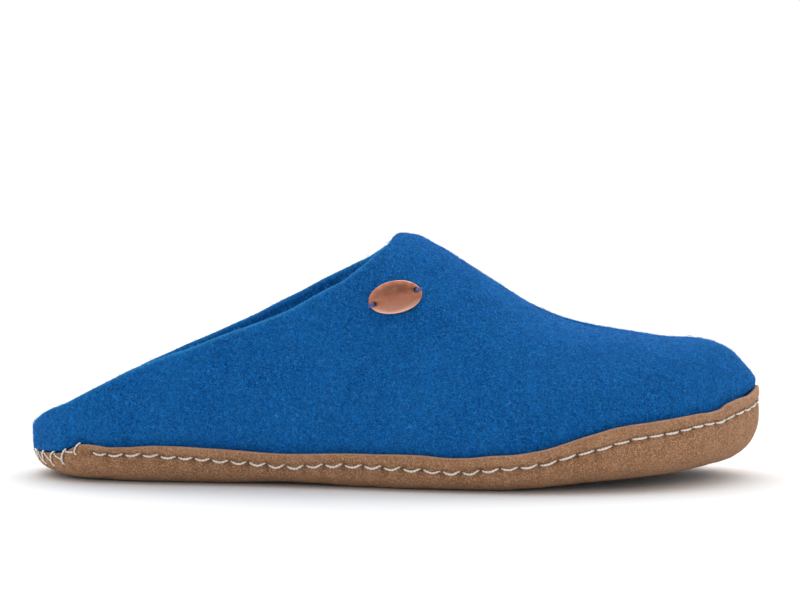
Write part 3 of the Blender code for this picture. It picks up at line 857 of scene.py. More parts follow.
def suede_material():
    """Brushed suede: mottled nap, paler worn edge, painted shade in the stitch line, its holes and puckers, and an
    underside painted dark grey to deepen the floor's contact shadow.
    """
    made, tree, shader = clean_material("suede_nap")
    where = place(tree)
    broad = noise_node(tree, where, 95.0, 4.0, 0.6, 0.3)
    mottle = noise_node(tree, where, 620.0, 4.0, 0.75, 0.5)
    grain = noise_node(tree, where, 1600.0, 3.0, 0.7, 0.3)
    nap = noise_node(tree, where, 3600.0, 1.0, 0.5)
    dark, mid, pale = (0.240, 0.107, 0.047), (0.385, 0.186, 0.090), (0.68, 0.40, 0.24)
    base = mixed(tree, ranged(tree, mottle, 0.34, 0.66), dark, mid)
    base = mixed(tree, ranged(tree, grain, 0.47, 0.62, 0.0, 0.80), base, pale)
    base = mixed(tree, ranged(tree, broad, 0.38, 0.7, 0.0, 0.16), base, pale)
    band = add(tree, "ShaderNodeAttribute", attribute_name="band").outputs["Fac"]
    base = mixed(tree, sums(tree, "MULTIPLY", band, 0.14), base, pale)
    trim = add(tree, "ShaderNodeAttribute", attribute_name="trim").outputs["Fac"]
    base = mixed(tree, sums(tree, "MULTIPLY", trim, 0.6), base, (0.72, 0.42, 0.31))
    # Painted shade: near black in the stitch holes, the sewn groove and the puckers, and where the heel stitches
    # bite.
    pull = add(tree, "ShaderNodeAttribute", attribute_name="pull").outputs["Fac"]
    base = mixed(tree, sums(tree, "MULTIPLY", pull, 0.8), base, (0.05, 0.025, 0.014))
    worn = add(tree, "ShaderNodeAttribute", attribute_name="worn").outputs["Fac"]
    scuff = ranged(tree, noise_node(tree, where, 160.0, 5.0, 0.7), 0.45, 0.65)
    worn = sums(tree, "MULTIPLY", worn, scuff)
    base = mixed(tree, sums(tree, "MULTIPLY", worn, 0.5), base, (0.24, 0.145, 0.095))
    # Painted shade: the underside is painted dark grey so the floor's contact shadow comes out darker and less
    # brown.
    underside_painted_shade = add(tree, "ShaderNodeAttribute", attribute_name="underside_painted_shade").outputs["Fac"]
    base = mixed(tree, sums(tree, "MULTIPLY", underside_painted_shade, 0.8), base, (0.13, 0.115, 0.10))
    tree.links.new(base, shader.inputs["Base Color"])
    tall = sums(tree, "ADD", mottle, sums(tree, "MULTIPLY", grain, 0.8))
    tall = sums(tree, "ADD", tall, sums(tree, "MULTIPLY", nap, 0.4))
    bumped(tree, shader, tall, 0.95, 0.0006)
    shader.inputs["Roughness"].default_value = 0.95
    shader.inputs["Specular IOR Level"].default_value = 0.15
    shader.inputs["Sheen Weight"].default_value = 0.25
    shader.inputs["Sheen Roughness"].default_value = 0.5
    shader.inputs["Sheen Tint"].default_value = (0.95, 0.72, 0.52, 1.0)
    return made


def thread_material(name, deep, light):
    made, tree, shader = clean_material(name)
    where = place(tree)
    strands = noise_node(tree, where, 2600.0, 3.0, 0.6, 0.8)
    dirt = noise_node(tree, where, 260.0, 3.0, 0.6)
    base = mixed(tree, ranged(tree, strands, 0.32, 0.62), deep, light)
    soiled = tuple(c * 0.72 for c in deep)
    base = mixed(tree, ranged(tree, dirt, 0.52, 0.75, 0.0, 0.4), base, soiled)
    tree.links.new(base, shader.inputs["Base Color"])
    bumped(tree, shader, strands, 0.6, 0.00015)
    shader.inputs["Roughness"].default_value = 0.8
    return made


def copper_material():
    """Antiqued copper: a painted reflection makes the lower rim bright and pale; the rim wall carries painted shade,
    tarnish browns the holes, and the upper middle is browner, partly tarnish and partly a painted dark reflection.
    """
    made, tree, shader = clean_material("copper_antique")
    where = place(tree)
    broad = noise_node(tree, where, 190.0, 3.0, 0.55, 0.6)
    speck = noise_node(tree, where, 900.0, 4.0, 0.7)
    stretch = add(tree, "ShaderNodeMapping")
    stretch.inputs["Scale"].default_value = (140.0, 900.0, 2600.0)
    tree.links.new(where, stretch.inputs["Vector"])
    brush = noise_node(tree, stretch.outputs["Vector"], 1.0, 2.0, 0.5)
    bright, brown = (0.90, 0.385, 0.245), (0.22, 0.085, 0.05)
    base = mixed(tree, ranged(tree, broad, 0.34, 0.62), bright, (0.60, 0.23, 0.14))
    base = mixed(tree, ranged(tree, speck, 0.56, 0.72, 0.0, 0.45), base, brown)
    # Tarnish round the holes, painted shade on the rim wall, and a painted dark reflection, partly tarnish, over the
    # upper middle.
    rim = add(tree, "ShaderNodeAttribute", attribute_name="patina_shade_and_reflection").outputs["Fac"]
    base = mixed(tree, rim, base, (0.11, 0.045, 0.03))
    # Painted reflection: the lower rim brightened to a pale copper.
    painted_rim_reflection = add(tree, "ShaderNodeAttribute", attribute_name="painted_rim_reflection").outputs["Fac"]
    base = mixed(tree, painted_rim_reflection, base, (1.0, 0.57, 0.43))
    tree.links.new(base, shader.inputs["Base Color"])
    shader.inputs["Metallic"].default_value = 0.92
    rough = ranged(tree, broad, 0.3, 0.7, 0.3, 0.5)
    rough = sums(tree, "ADD", rough, sums(tree, "MULTIPLY", rim, 0.3))
    tree.links.new(rough, shader.inputs["Roughness"])
    tall = sums(tree, "ADD", sums(tree, "MULTIPLY", brush, 0.5), speck)
    bumped(tree, shader, tall, 0.35, 0.0001)
    return made


FELT_OUT = felt_material(
    "felt_blue_wool", (0.0010, 0.050, 0.215), (0.0031, 0.108, 0.42), (0.018, 0.25, 0.69), 0.045
)
FELT_IN = felt_material(
    "felt_footbed_wool", (0.0010, 0.045, 0.19), (0.0031, 0.097, 0.37), (0.017, 0.22, 0.61), 0.045
)
SUEDE_NAP = suede_material()
CREAM = thread_material("thread_cream", (0.80, 0.71, 0.60), (0.96, 0.92, 0.85))
BLUE_THREAD = thread_material("thread_blue", (0.05, 0.09, 0.32), (0.16, 0.24, 0.60))
COPPER = copper_material()


# ------------------------------------------------------------------- felt
def crease_depth(points):
    """How far the pressed folds sink the felt, in millimetres, at each point."""
    total = np.zeros(len(points))
    for c in CREASES:
        a = np.array([c.x1, c.z1])
        way = np.array([c.x2, c.z2]) - a
        long = float(np.linalg.norm(way))
        way = way / long
        here = points[:, [0, 2]] - a
        t = here @ way
        across = here @ np.array([-way[1], way[0]])
        bend = 0.12 * long * np.sin(np.clip(t / long, 0.0, 1.0) * math.pi)
        off = (across - bend) / c.width
        ends = smooth_step((t + 10.0) / 22.0) * smooth_step((long + 10.0 - t) / 22.0)
        own = (points[:, 1] - ridge_y(points[:, 0])) * c.side > 0.0
        total += c.depth * np.exp(-(off**2)) * ends * own
    return total


def make_felt():
    """The upper: one wall of felt with a rounded, hand-cut collar."""
    count = 288
    all_ribs, order, _ = ribs(count)
    tucked, curl, foot, body = [], [], [], []
    tail = np.array([5.4, 4.4, 3.5, 2.75, 2.1, 1.55, 1.05, 0.62, 0.28, 0.08, 0.0])
    for one in all_ribs:
        corner_point, keel_point = one[0][-1], one[0][0]
        way = unit(keel_point[:2] - corner_point[:2])
        plan = corner_point[:2] + way * MARGIN
        tucked.append(np.array([*plan, under(plan[0]) + LINER]))
        curl.append(along(one[1], np.linspace(0.0, 1.0, 8)))
        foot.append(along(one[2], np.linspace(0.0, 1.0, 5)[1:]))
        run = run_of(one[3])[-1]
        start = run - min(6.6, run * 0.5)
        ends = run - tail * min(1.0, run * 0.4 / 5.4)
        wanted = np.concatenate([start * np.linspace(0.0, 1.0, 44)[1:] ** 1.5, ends])
        body.append(at_run(one[3], wanted))
    rows = [tucked]
    for group in (curl, foot, body):
        rows += [[part[r] for part in group] for r in range(len(group[0]))]
    front = count // 4
    points, faces, index = ladder(
        rows, False, True, keep_last=lambda i: min(i, count - i) <= front
    )
    normals, turned = normals_of(points, faces, (150.0, 0.0, 30.0))
    if turned:
        faces = [face[::-1] for face in faces]

    rim = index[-1][front : count - front + 1]
    edge = points[rim]
    edge = at_run(edge, np.arange(0.0, run_of(edge)[-1], 0.12))
    tree = kdtree.KDTree(len(edge))
    for n, p in enumerate(edge):
        tree.insert(Vector(p), n)
    tree.balance()
    away = np.array([tree.find(Vector(p))[2] for p in points])
    away[rim] = 0.0

    half = 0.5 * FELT + 0.15 * np.exp(-((away / 5.0) ** 2))
    inward = np.clip(half - away, 0.0, None)
    drop = half - np.sqrt(np.clip(half**2 - inward**2, 0.0, None))
    relief = 0.26 * lumps(points, 24.0, 1) + 0.16 * lumps(points, 9.0, 2) - 0.12
    relief += 0.07 * lumps(points, 3.2, 3) - crease_depth(points)
    calm = smooth_step((points[:, 2] - edge_table(points[:, 0]) - 0.8) / 6.0)
    near_badge = np.linalg.norm(
        points - (badge_frame()[0] + np.array([0.0, 0.0, 0.0])), axis=1
    )
    relief *= calm * smooth_step((near_badge - 9.0) / 9.0)
    rim_puff = 0.22 * np.exp(-(((away - 3.0) / 2.6) ** 2))
    surface = points + normals * (relief + rim_puff * calm)[:, None]
    thick = 2.0 * half
    outer = surface - normals * drop[:, None]
    inner = surface - normals * (thick - drop)[:, None]
    wobble = 0.25 * lumps(points, 11.0, 5) * (away > 2.4)
    inner += normals * wobble[:, None]
    joined = away < 1e-9
    inner[joined] = outer[joined]
    all_points, all_faces, source = shell(points, faces, outer, inner)
    # Painted highlight mask: strongest at the collar rim, gone within a couple of millimetres, weaker on the inside
    # sheet.
    rim_highlight_share = (0.66 * np.exp(-((away / 1.2) ** 2)))[source]
    rim_highlight_share[len(points) :] *= 0.3
    layers = {"painted_rim_highlight": rim_highlight_share}
    add_piece("felt_upper", all_points, all_faces, "upper", FELT_OUT, layers)
    return outer, faces, normals, away


def make_fuzz(surface, faces, normals, away):
    """Loose wool hairs lying on and standing off the felt, as one mesh."""
    tris = []
    for face in faces:
        tris.append(face[:3])
        if len(face) == 4:
            tris.append([face[0], face[2], face[3]])
    tris = np.array(tris)
    corner_a, corner_b, corner_c = (surface[tris[:, k]] for k in range(3))
    area = 0.5 * np.linalg.norm(np.cross(corner_b - corner_a, corner_c - corner_a), axis=1)
    height = surface[tris].mean(1)
    low = edge_table(height[:, 0]) + 2.0
    area = area * (height[:, 2] > low)
    rim = np.exp(-((away[tris].mean(1) / 2.5) ** 2))
    weight = area * (1.0 + 0.7 * rim)
    total = 24000
    pick = RNG.choice(len(tris), total, p=weight / weight.sum())
    u, v = RNG.random(total), RNG.random(total)
    flip = u + v > 1.0
    u[flip], v[flip] = 1.0 - u[flip], 1.0 - v[flip]
    root = (
        corner_a[pick]
        + (corner_b - corner_a)[pick] * u[:, None]
        + (corner_c - corner_a)[pick] * v[:, None]
    )
    up = unit(normals[tris[pick]].mean(1))
    side = unit(np.cross(up, RNG.normal(size=(total, 3))))
    bend = np.cross(up, side)
    long = RNG.gamma(4.0, 0.52, total)
    curl = RNG.normal(0.0, 1.1, total)
    stand = np.abs(RNG.normal(0.0, 0.11, total)) + 0.03
    wide = RNG.uniform(0.03, 0.055, total)
    points, quads = [], []
    steps = np.array([0.0, 0.35, 0.7, 1.0])
    thin = np.array([1.0, 0.9, 0.7, 0.25])
    base = 0
    line = []
    for t in steps:
        ahead = side * (long * np.sin(curl * t) / np.where(np.abs(curl) < 0.05, 0.05, curl) * 1.0)[:, None]
        ahead = np.where((np.abs(curl) < 0.05)[:, None], side * (long * t)[:, None], ahead)
        across = bend * (long * (1.0 - np.cos(curl * t)) / np.where(np.abs(curl) < 0.05, 1e9, curl))[:, None]
        rise_by = up * (stand * long * np.sin(math.pi * min(t, 0.62)) - 0.05 * (t == 0.0))[:, None]
        line.append(root + ahead + across + rise_by)
    for k, t in enumerate(steps):
        along_way = unit(line[min(k + 1, 3)] - line[max(k - 1, 0)])
        flat = unit(np.cross(along_way, up) + 0.7 * up)
        points.append(line[k] - flat * (wide * thin[k])[:, None])
        points.append(line[k] + flat * (wide * thin[k])[:, None])
    points = np.concatenate(points)
    for k in range(3):
        a, b = (2 * k) * total, (2 * k + 1) * total
        c, d = (2 * k + 3) * total, (2 * k + 2) * total
        n = np.arange(total)
        quads.append(np.stack([a + n, b + n, c + n, d + n], 1))
    quads = np.concatenate(quads).tolist()
    material, tree, shader = clean_material("felt_loose_wool")
    where = place(tree)
    tone = ranged(tree, noise_node(tree, where, 800.0, 2.0), 0.35, 0.65)
    colour = mixed(tree, tone, (0.005, 0.13, 0.46), (0.055, 0.36, 0.80))
    tree.links.new(colour, shader.inputs["Base Color"])
    shader.inputs["Roughness"].default_value = 0.9
    shader.inputs["Specular IOR Level"].default_value = 0.1
    add_piece("felt_fuzz", points, quads, None, material)


# ------------------------------------------------------------------ suede
class Rand:
    """The suede's turned-up side, by distance round the stitch line."""

    def __init__(self, count):
        self.count = count
        self.ribs, self.order, self.shares = ribs(count, wall_only_foot=True)
        run, line, out, edge = [], [], [], []
        for one in self.ribs:
            wall = np.concatenate([one[1][:-1], one[2]])
            drop = stitch_drop(one[2][-1][0])
            total = run_of(wall)[-1]
            line.append(at_run(wall, [total - drop])[0])
            edge.append(one[2][-1])
        for (side, k) in self.order:
            out.append(np.append(SIDES[side].at(self.shares[side][k])[1], 0.0))
        self.line, self.edge, self.out = map(np.array, (line, edge, out))
        ring = np.concatenate([self.line, self.line[:1]])
        run = run_of(ring)
        self.total = float(run[-1])
        self.run = run[:-1]
        self.holes = self.make_holes()
        self.gaps = np.mod(
            0.5 * (self.holes[:-1, 1] + self.holes[1:, 0]), self.total
        )

    def make_holes(self):
        """(first, last) hole of each running stitch, by distance round.

        They begin by the heel on the lateral side, go round the toe and end
        by the heel on the medial side. Distances fall towards the toe on the
        lateral side, so they are counted down from there.
        """
        half = self.count // 2
        lateral = self.line[: half + 1]
        start = float(np.interp(-RUNNING_FROM, -lateral[:, 0], self.run[: half + 1]))
        medial_x = self.line[half:, 0]
        stop = float(np.interp(RUNNING_FROM, medial_x, self.run[half:])) - self.total
        holes, at = [], start
        while at > stop:
            pitch = float(stitch_pitch(self.x_at(at)))
            pitch *= 1.0 + 0.04 * math.sin(at * 1.7)
            holes.append((at, at - pitch * 0.87))
            at -= pitch
        return np.array(holes)

    def x_at(self, run):
        run = run % self.total
        return float(
            np.interp(run, np.append(self.run, self.total), np.append(self.line[:, 0], self.line[0, 0]))
        )

    def value_at(self, values, run):
        run = np.mod(run, self.total)
        run_all = np.append(self.run, self.total)
        ring = np.concatenate([values, values[:1]])
        return np.stack([np.interp(run, run_all, ring[:, k]) for k in range(3)], -1)


def ring_gap(a, b, total):
    """Shortest signed distance from each a to its nearest b round a loop."""
    off = (a[:, None] - b[None, :] + 0.5 * total) % total - 0.5 * total
    nearest = np.argmin(np.abs(off), axis=1)
    return off[np.arange(len(a)), nearest]


def make_suede(rand):
    """Sole and rand: suede with a sewn groove, puckers and a wavy cut edge."""
    count = rand.count
    tail = np.array(
        [9.6, 8.6, 7.7, 7.0, 6.4, 5.8, 5.2, 4.6, 4.0, 3.3, 2.6, 1.9, 1.3, 0.9, 0.55, 0.25, 0.07, 0.0]
    )
    flat, side_rows = [], []
    for one in rand.ribs:
        flat.append(along(one[0], [0.0, 0.3, 0.6, 0.8, 0.92, 1.0]))
        wall = np.concatenate([one[1][:-1], one[2]])
        run = run_of(wall)[-1]
        start = run - 10.6
        wanted = np.concatenate([np.linspace(0.0, start, 11)[1:], run - tail])
        side_rows.append(at_run(wall, wanted))
    rows = [[one[r] for one in flat] for r in range(6)]
    rows += [[one[r] for one in side_rows] for r in range(len(side_rows[0]))]
    points, faces, index = ladder(rows, True, False)
    normals, turned = normals_of(points, faces, (150.0, 0.0, 30.0))
    if turned:
        faces = [face[::-1] for face in faces]

    number = len(points)
    depth = np.full(number, 50.0)  # distance below the cut edge
    rib_of = np.zeros(number, int)
    for r, names in enumerate(index):
        for i, name in enumerate(names):
            rib_of[name] = i
    for r, below in enumerate(tail):
        depth[index[len(index) - len(tail) + r]] = below
    for i, one in enumerate(rand.ribs):
        wall = np.concatenate([one[1][:-1], one[2]])
        run = run_of(wall)[-1]
        for r, share in enumerate(np.linspace(0.0, run - 10.6, 11)[1:]):
            depth[index[6 + r][i]] = run - share
    x = points[:, 0]
    drop = stitch_drop(np.array([one[2][-1][0] for one in rand.ribs]))[rib_of]
    v = drop - depth  # above the stitch line
    a = rand.run[rib_of]
    heel = smooth_step((SEWN_FROM + 1.0 - np.array([e[0] for e in rand.edge])[rib_of]) / 3.0)
    sewn = 1.0 - heel

    first = ring_gap(a, np.mod(rand.holes[:, 0], rand.total), rand.total)
    last = ring_gap(a, np.mod(rand.holes[:, 1], rand.total), rand.total)
    gap = ring_gap(a, rand.gaps, rand.total)
    hole = np.exp(-((first / 0.75) ** 2 + (v / 0.8) ** 2))
    hole = np.maximum(hole, np.exp(-((last / 0.75) ** 2 + (v / 0.8) ** 2)))
    groove = np.exp(-((v / 1.15) ** 2))
    bridge = np.exp(-((gap / 0.75) ** 2)) * groove
    lip = np.exp(-(((v - 2.5) / 1.7) ** 2))
    belly = np.exp(-(((v + 3.2) / 2.6) ** 2))
    fold = np.exp(-((gap / 1.25) ** 2)) * smooth_step((-v) / 1.5) * np.exp(v / 3.2) * (v < 0)
    fold_up = np.exp(-((gap / 1.1) ** 2)) * smooth_step(v / 1.2) * np.exp(-v / 2.6) * (v > 0)
    relief = -0.52 * groove + 0.20 * lip + 0.14 * belly + 0.26 * bridge
    relief += -0.85 * hole - 0.30 * fold - 0.30 * fold_up
    relief *= sewn

    # The blanket stitches round the heel bite into the suede.
    whips = whip_places(rand)
    bite = ring_gap(a, np.mod(whips, rand.total), rand.total)
    relief += heel * (
        -0.55 * np.exp(-((bite / 1.0) ** 2)) * smooth_step((6.5 - depth) / 4.0)
        + 0.25 * np.exp(-(((depth - 2.5) / 2.0) ** 2))
    )
    bottom = points[:, 2] < under(x) + LINER + 0.05
    relief += np.where(bottom, 0.0, 0.17 * lumps(points, 6.0, 11) + 0.20 * lumps(points, 19.0, 12))
    relief += np.where(bottom, 0.0, 0.07 * lumps(points, 2.4, 13))

    # The free edge above the stitches leans away from the felt.
    lean = flare(np.array([e[0] for e in rand.edge])[rib_of]) * sewn
    lean = lean * smooth_step((v + 0.5) / np.maximum(drop, 1.0))
    half = 0.5 * SUEDE
    near = np.clip(1.0 - depth / 0.55, 0.0, 1.0)
    body = half * (1.0 - near**3) ** (1.0 / 3.0)
    pinch = 0.42 * smooth_step((5.0 - depth) / 5.0)
    body = np.minimum(body, half - pinch)
    middle = GAP + half - pinch
    body[np.array(index[-1])] = 0.0
    surface = points + normals * (lean + middle)[:, None]
    outer = surface + normals * (body + relief * smooth_step(depth / 0.6))[:, None]
    inner = surface - normals * body[:, None]
    outer[:, 2] = np.maximum(outer[:, 2], 0.0)
    flat_spot = (np.abs(under(x)) < 0.02) & bottom
    outer[flat_spot, 2] = 0.0
    inner[index[-1]] = outer[index[-1]]
    all_points, all_faces, source = shell(points, faces, outer, inner)

    band = smooth_step((v - 0.4) / 2.2) * sewn
    trim = np.exp(-((depth / 0.42) ** 2))
    # Painted shade mask: the stitch holes, groove and puckers, and the bites of the heel stitches.
    pull = np.clip(0.75 * hole + 0.22 * groove * (1.0 - 0.7 * bridge) + 0.35 * fold, 0.0, 1.0) * sewn
    pull += heel * 0.35 * np.exp(-((bite / 0.8) ** 2)) * smooth_step((6.0 - depth) / 2.0)
    worn = smooth_step((3.2 - (points[:, 2] - LINER)) / 3.0)
    # Painted shade mask: the flat underside, its lowest 0.8 mm.
    underside_painted_shade = smooth_step((0.8 - (points[:, 2] - LINER - under(points[:, 0]))) / 0.6)
    layers = {
        "band": band[source],
        "trim": trim[source],
        "pull": pull[source],
        "worn": worn[source],
        "underside_painted_shade": underside_painted_shade[source],
    }
    add_piece("suede_sole", all_points, all_faces, "outsole", SUEDE_NAP, layers)


def surface_at(rand, run, below, lift):
    """A point on the rand: distance round, below its cut edge, off its face."""
    run = np.atleast_1d(np.asarray(run, float))
    below = np.broadcast_to(np.asarray(below, float), run.shape)
    lift = np.broadcast_to(np.asarray(lift, float), run.shape)
    places = np.mod(run, rand.total) / rand.total
    out = []
    ring_run = np.append(rand.run, rand.total)
    for r, b, h in zip(np.mod(run, rand.total), below, lift):
        i = int(np.clip(np.searchsorted(ring_run, r, side="right") - 1, 0, rand.count - 1))
        j = (i + 1) % rand.count
        t = (r - ring_run[i]) / (ring_run[i + 1] - ring_run[i])
        pair = []
        for n in (i, j):
            wall = np.concatenate([rand.ribs[n][1][:-1], rand.ribs[n][2]])
            total = run_of(wall)[-1]
            here = at_run(wall, [total - max(b, 0.0)])[0]
            lower = at_run(wall, [total - max(b, 0.0) - 0.6])[0]
            upper = at_run(wall, [min(total, total - max(b, 0.0) + 0.6)])[0]
            slope = unit(upper - lower)
            out_way = rand.out[n]
            normal = unit(out_way - slope * float(out_way @ slope))
            drop = float(stitch_drop(rand.edge[n][0]))
            lean = float(flare(rand.edge[n][0])) * float(
                smooth_step((drop - b + 0.5) / max(drop, 1.0))
            )
            if rand.edge[n][0] < SEWN_FROM:
                lean = 0.0
            pinch = 0.84 * float(smooth_step((5.0 - b) / 5.0))
            here = here + normal * (GAP + SUEDE - pinch + lean + h)
            if b < 0.0:
                here = here + slope * (-b)
            pair.append(here)
        out.append(pair[0] * (1.0 - t) + pair[1] * t)
    return np.array(out)


def make_running_stitches(rand):
    parts = []
    for n, (first, last) in enumerate(rand.holes):
        t = np.linspace(0.0, 1.0, 13)
        run = first + (last - first) * t
        x = rand.x_at(0.5 * (first + last))
        drop = float(stitch_drop(x))
        slack = 0.10 + 0.40 * float(smooth_step((228.0 - x) / 60.0))
        sag = slack * (np.sin(math.pi * np.clip(t * 1.08, 0, 1)) - 0.5 * smooth_step((t - 0.55) / 0.45))
        lift = -0.80 + 0.86 * np.sin(math.pi * t) ** 0.42
        lift += 0.08 * math.sin(n * 2.4)
        path = surface_at(rand, run, drop + sag + 0.12 * math.sin(n * 1.9), lift)
        thick = THREAD * (1.0 + 0.08 * math.sin(n * 3.1))
        parts += plied(path, thick, start=n * 0.9, ends=0.30)
    points, faces = join_parts(parts)
    add_piece("rand_stitches", points, faces, None, CREAM)


def whip_places(rand):
    """Distances round of the blanket stitches, from lateral to medial heel."""
    half = rand.count // 2
    start = float(np.interp(-22.6, -rand.line[: half + 1, 0], rand.run[: half + 1]))
    stop = float(np.interp(23.0, rand.line[half:, 0], rand.run[half:]))
    number = int(round((stop - start) / WHIP_PITCH))
    return np.linspace(start, stop, number + 1)


def smooth_path(points, steps=15):
    """A rounded path through a few points."""
    points = np.asarray(points, float)
    for _ in range(2):
        mids = 0.5 * (points[:-1] + points[1:])
        cut = [points[0]]
        for k in range(len(points) - 1):
            cut += [0.75 * points[k] + 0.25 * points[k + 1], 0.25 * points[k] + 0.75 * points[k + 1]]
        cut.append(points[-1])
        points = np.array(cut)
    return along(points, np.linspace(0.0, 1.0, steps))


def make_heel_stitches(rand):
    parts = []
    places = whip_places(rand)
    for n, at in enumerate(places):
        odd = 0.35 * math.sin(n * 2.3)
        deep = 4.0 + 0.35 * math.sin(n * 1.3)
        arc = [
            surface_at(rand, at - 2.0 + odd, -0.7, 0.8)[0],
            surface_at(rand, at - 1.1 + odd, -0.5, 0.95)[0],
            surface_at(rand, at + 0.3, 0.7, 0.50)[0],
            surface_at(rand, at + 0.6, 2.4, 0.34)[0],
            surface_at(rand, at - 0.1, deep - 0.6, 0.1)[0],
            surface_at(rand, at - 0.8, deep, -0.8)[0],
        ]
        parts += plied(smooth_path(arc, 20), THREAD * 0.78, start=n * 1.1)
        if n:
            before = places[n - 1]
            slope = [
                surface_at(rand, at - 1.4 + odd, -0.1, 0.62)[0],
                surface_at(rand, at - 2.4, 1.0, 0.42)[0],
                surface_at(rand, before + 1.8, 1.8, 0.34)[0],
                surface_at(rand, before + 0.9, 2.3, 0.20)[0],
            ]
            parts += plied(smooth_path(slope, 14), THREAD * 0.72, start=n * 0.7)
    points, faces = join_parts(parts)
    add_piece("heel_stitches", points, faces, None, CREAM)


# ---------------------------------------------------------------- footbed
def inside_of_curl(curl, depth):
    start, end = curl[0], curl[-1]
    out = unit(end[:2] - start[:2])
    section = np.stack([(curl[:, :2] - start[:2]) @ out, curl[:, 2]], axis=1)
    step = np.gradient(section, axis=0)
    inward = unit(np.stack([-step[:, 1], step[:, 0]], axis=1))
    return out, section + inward * depth


def make_footbed():
    count = 224
    all_ribs, _, _ = ribs(count, wall_only_foot=True)
    inner = FELT + GAP
    levels = [0.0, 0.2, 0.4, 0.58, 0.72, 0.84, 0.93, 0.98, 1.0]
    pull_in = [0.15, 0.1, 0.1, 0.12, 0.18, 0.34, 0.62, 1.0, 1.6]
    base = []
    for one in all_ribs:
        corner_point, keel_point = one[0][-1], one[0][0]
        way = unit(keel_point[:2] - corner_point[:2])
        plug = corner_point[:2] + way * (MARGIN + 0.6)
        floor = under(plug[0]) + LINER
        slack = 0.45 * float(smooth_step((corner_point[0] - 190.0) / 50.0))
        out, wall = inside_of_curl(one[1], inner + 0.5 + slack)
        rest = under(corner_point[0]) + LINER + inner + slack
        side = []
        for level, pull in zip(levels, pull_in):
            z = rest + FOOTBED_EDGE * level
            span = float(np.interp(min(z, rest + FOOTBED_EDGE * 0.9), wall[:, 1], wall[:, 0]))
            plan = corner_point[:2] + out * max(span - pull, 0.2)
            side.append(np.array([*plan, z]))
        base.append((plug, floor, side, keel_point[:2]))
    top = LINER + inner + FOOTBED_EDGE
    rows = [
        [np.array([*b[3], under(b[3][0]) + LINER]) for b in base],
        [np.array([*b[0], b[1]]) for b in base],
        [np.array([*b[0], b[1] + inner]) for b in base],
    ]
    rows += [[b[2][r] for b in base] for r in range(len(levels))]
    for share in list(np.linspace(0.0, 1.0, 26)[1:]):
        row = []
        for b in base:
            plan = b[2][-1][:2] + (b[3] - b[2][-1][:2]) * share
            row.append(np.array([*plan, under(plan[0]) + top]))
        rows.append(row)
    points, faces, index = ladder(rows, True, True)
    normals, turned = normals_of(points, faces, (150.0, 0.0, 7.0))
    if turned:
        faces = [face[::-1] for face in faces]
    first_top = index[3 + len(levels) - 1][0]
    upper_side = np.arange(len(points)) >= min(index[3 + len(levels) - 1])
    press = 0.9 * np.exp(-(((points[:, 0] - 42.0) / 26.0) ** 2 + (points[:, 1] / 20.0) ** 2))
    press += 0.7 * np.exp(-(((points[:, 0] - 205.0) / 30.0) ** 2 + ((points[:, 1] + 2.0) / 30.0) ** 2))
    relief = 0.3 * lumps(points, 16.0, 21) + 0.12 * lumps(points, 5.0, 22) - press
    points[upper_side, 2] += np.minimum(relief, 0.15)[upper_side]
    obj = add_piece("felt_footbed", points, faces, "insole", FELT_IN)


# ------------------------------------------------------------------ badge
def badge_frame():
    half = SIDES[-1]

    def on_wall(x, z):
        share = half.share_of_x(x)
        x_here = half.at(share)[0][0]
        up = (z - widest(x_here)) / (top_height(x_here) - widest(x_here))
        left = reach(up, x_here, -1)
        y = ridge_y(x_here) + (side_y(x_here, -1) - ridge_y(x_here)) * left
        return np.array([x_here, float(y), z])

    here = on_wall(BADGE_X, BADGE_Z)
    ahead = on_wall(BADGE_X + 10.0, BADGE_Z) - on_wall(BADGE_X - 10.0, BADGE_Z)
    higher = on_wall(BADGE_X, BADGE_Z + 4.0) - on_wall(BADGE_X, BADGE_Z - 4.0)
    out = unit(np.cross(ahead, higher))
    ahead = unit(ahead)
    up = np.cross(out, ahead)
    tilt = math.radians(BADGE_TILT)
    long_way = ahead * math.cos(tilt) + up * math.sin(tilt)
    return here, long_way, np.cross(out, long_way), out


def hole_at(side):
    way = math.radians(BADGE_HOLE_TURN)
    return side * BADGE_HOLE_AT * math.cos(way), side * BADGE_HOLE_AT * math.sin(way)


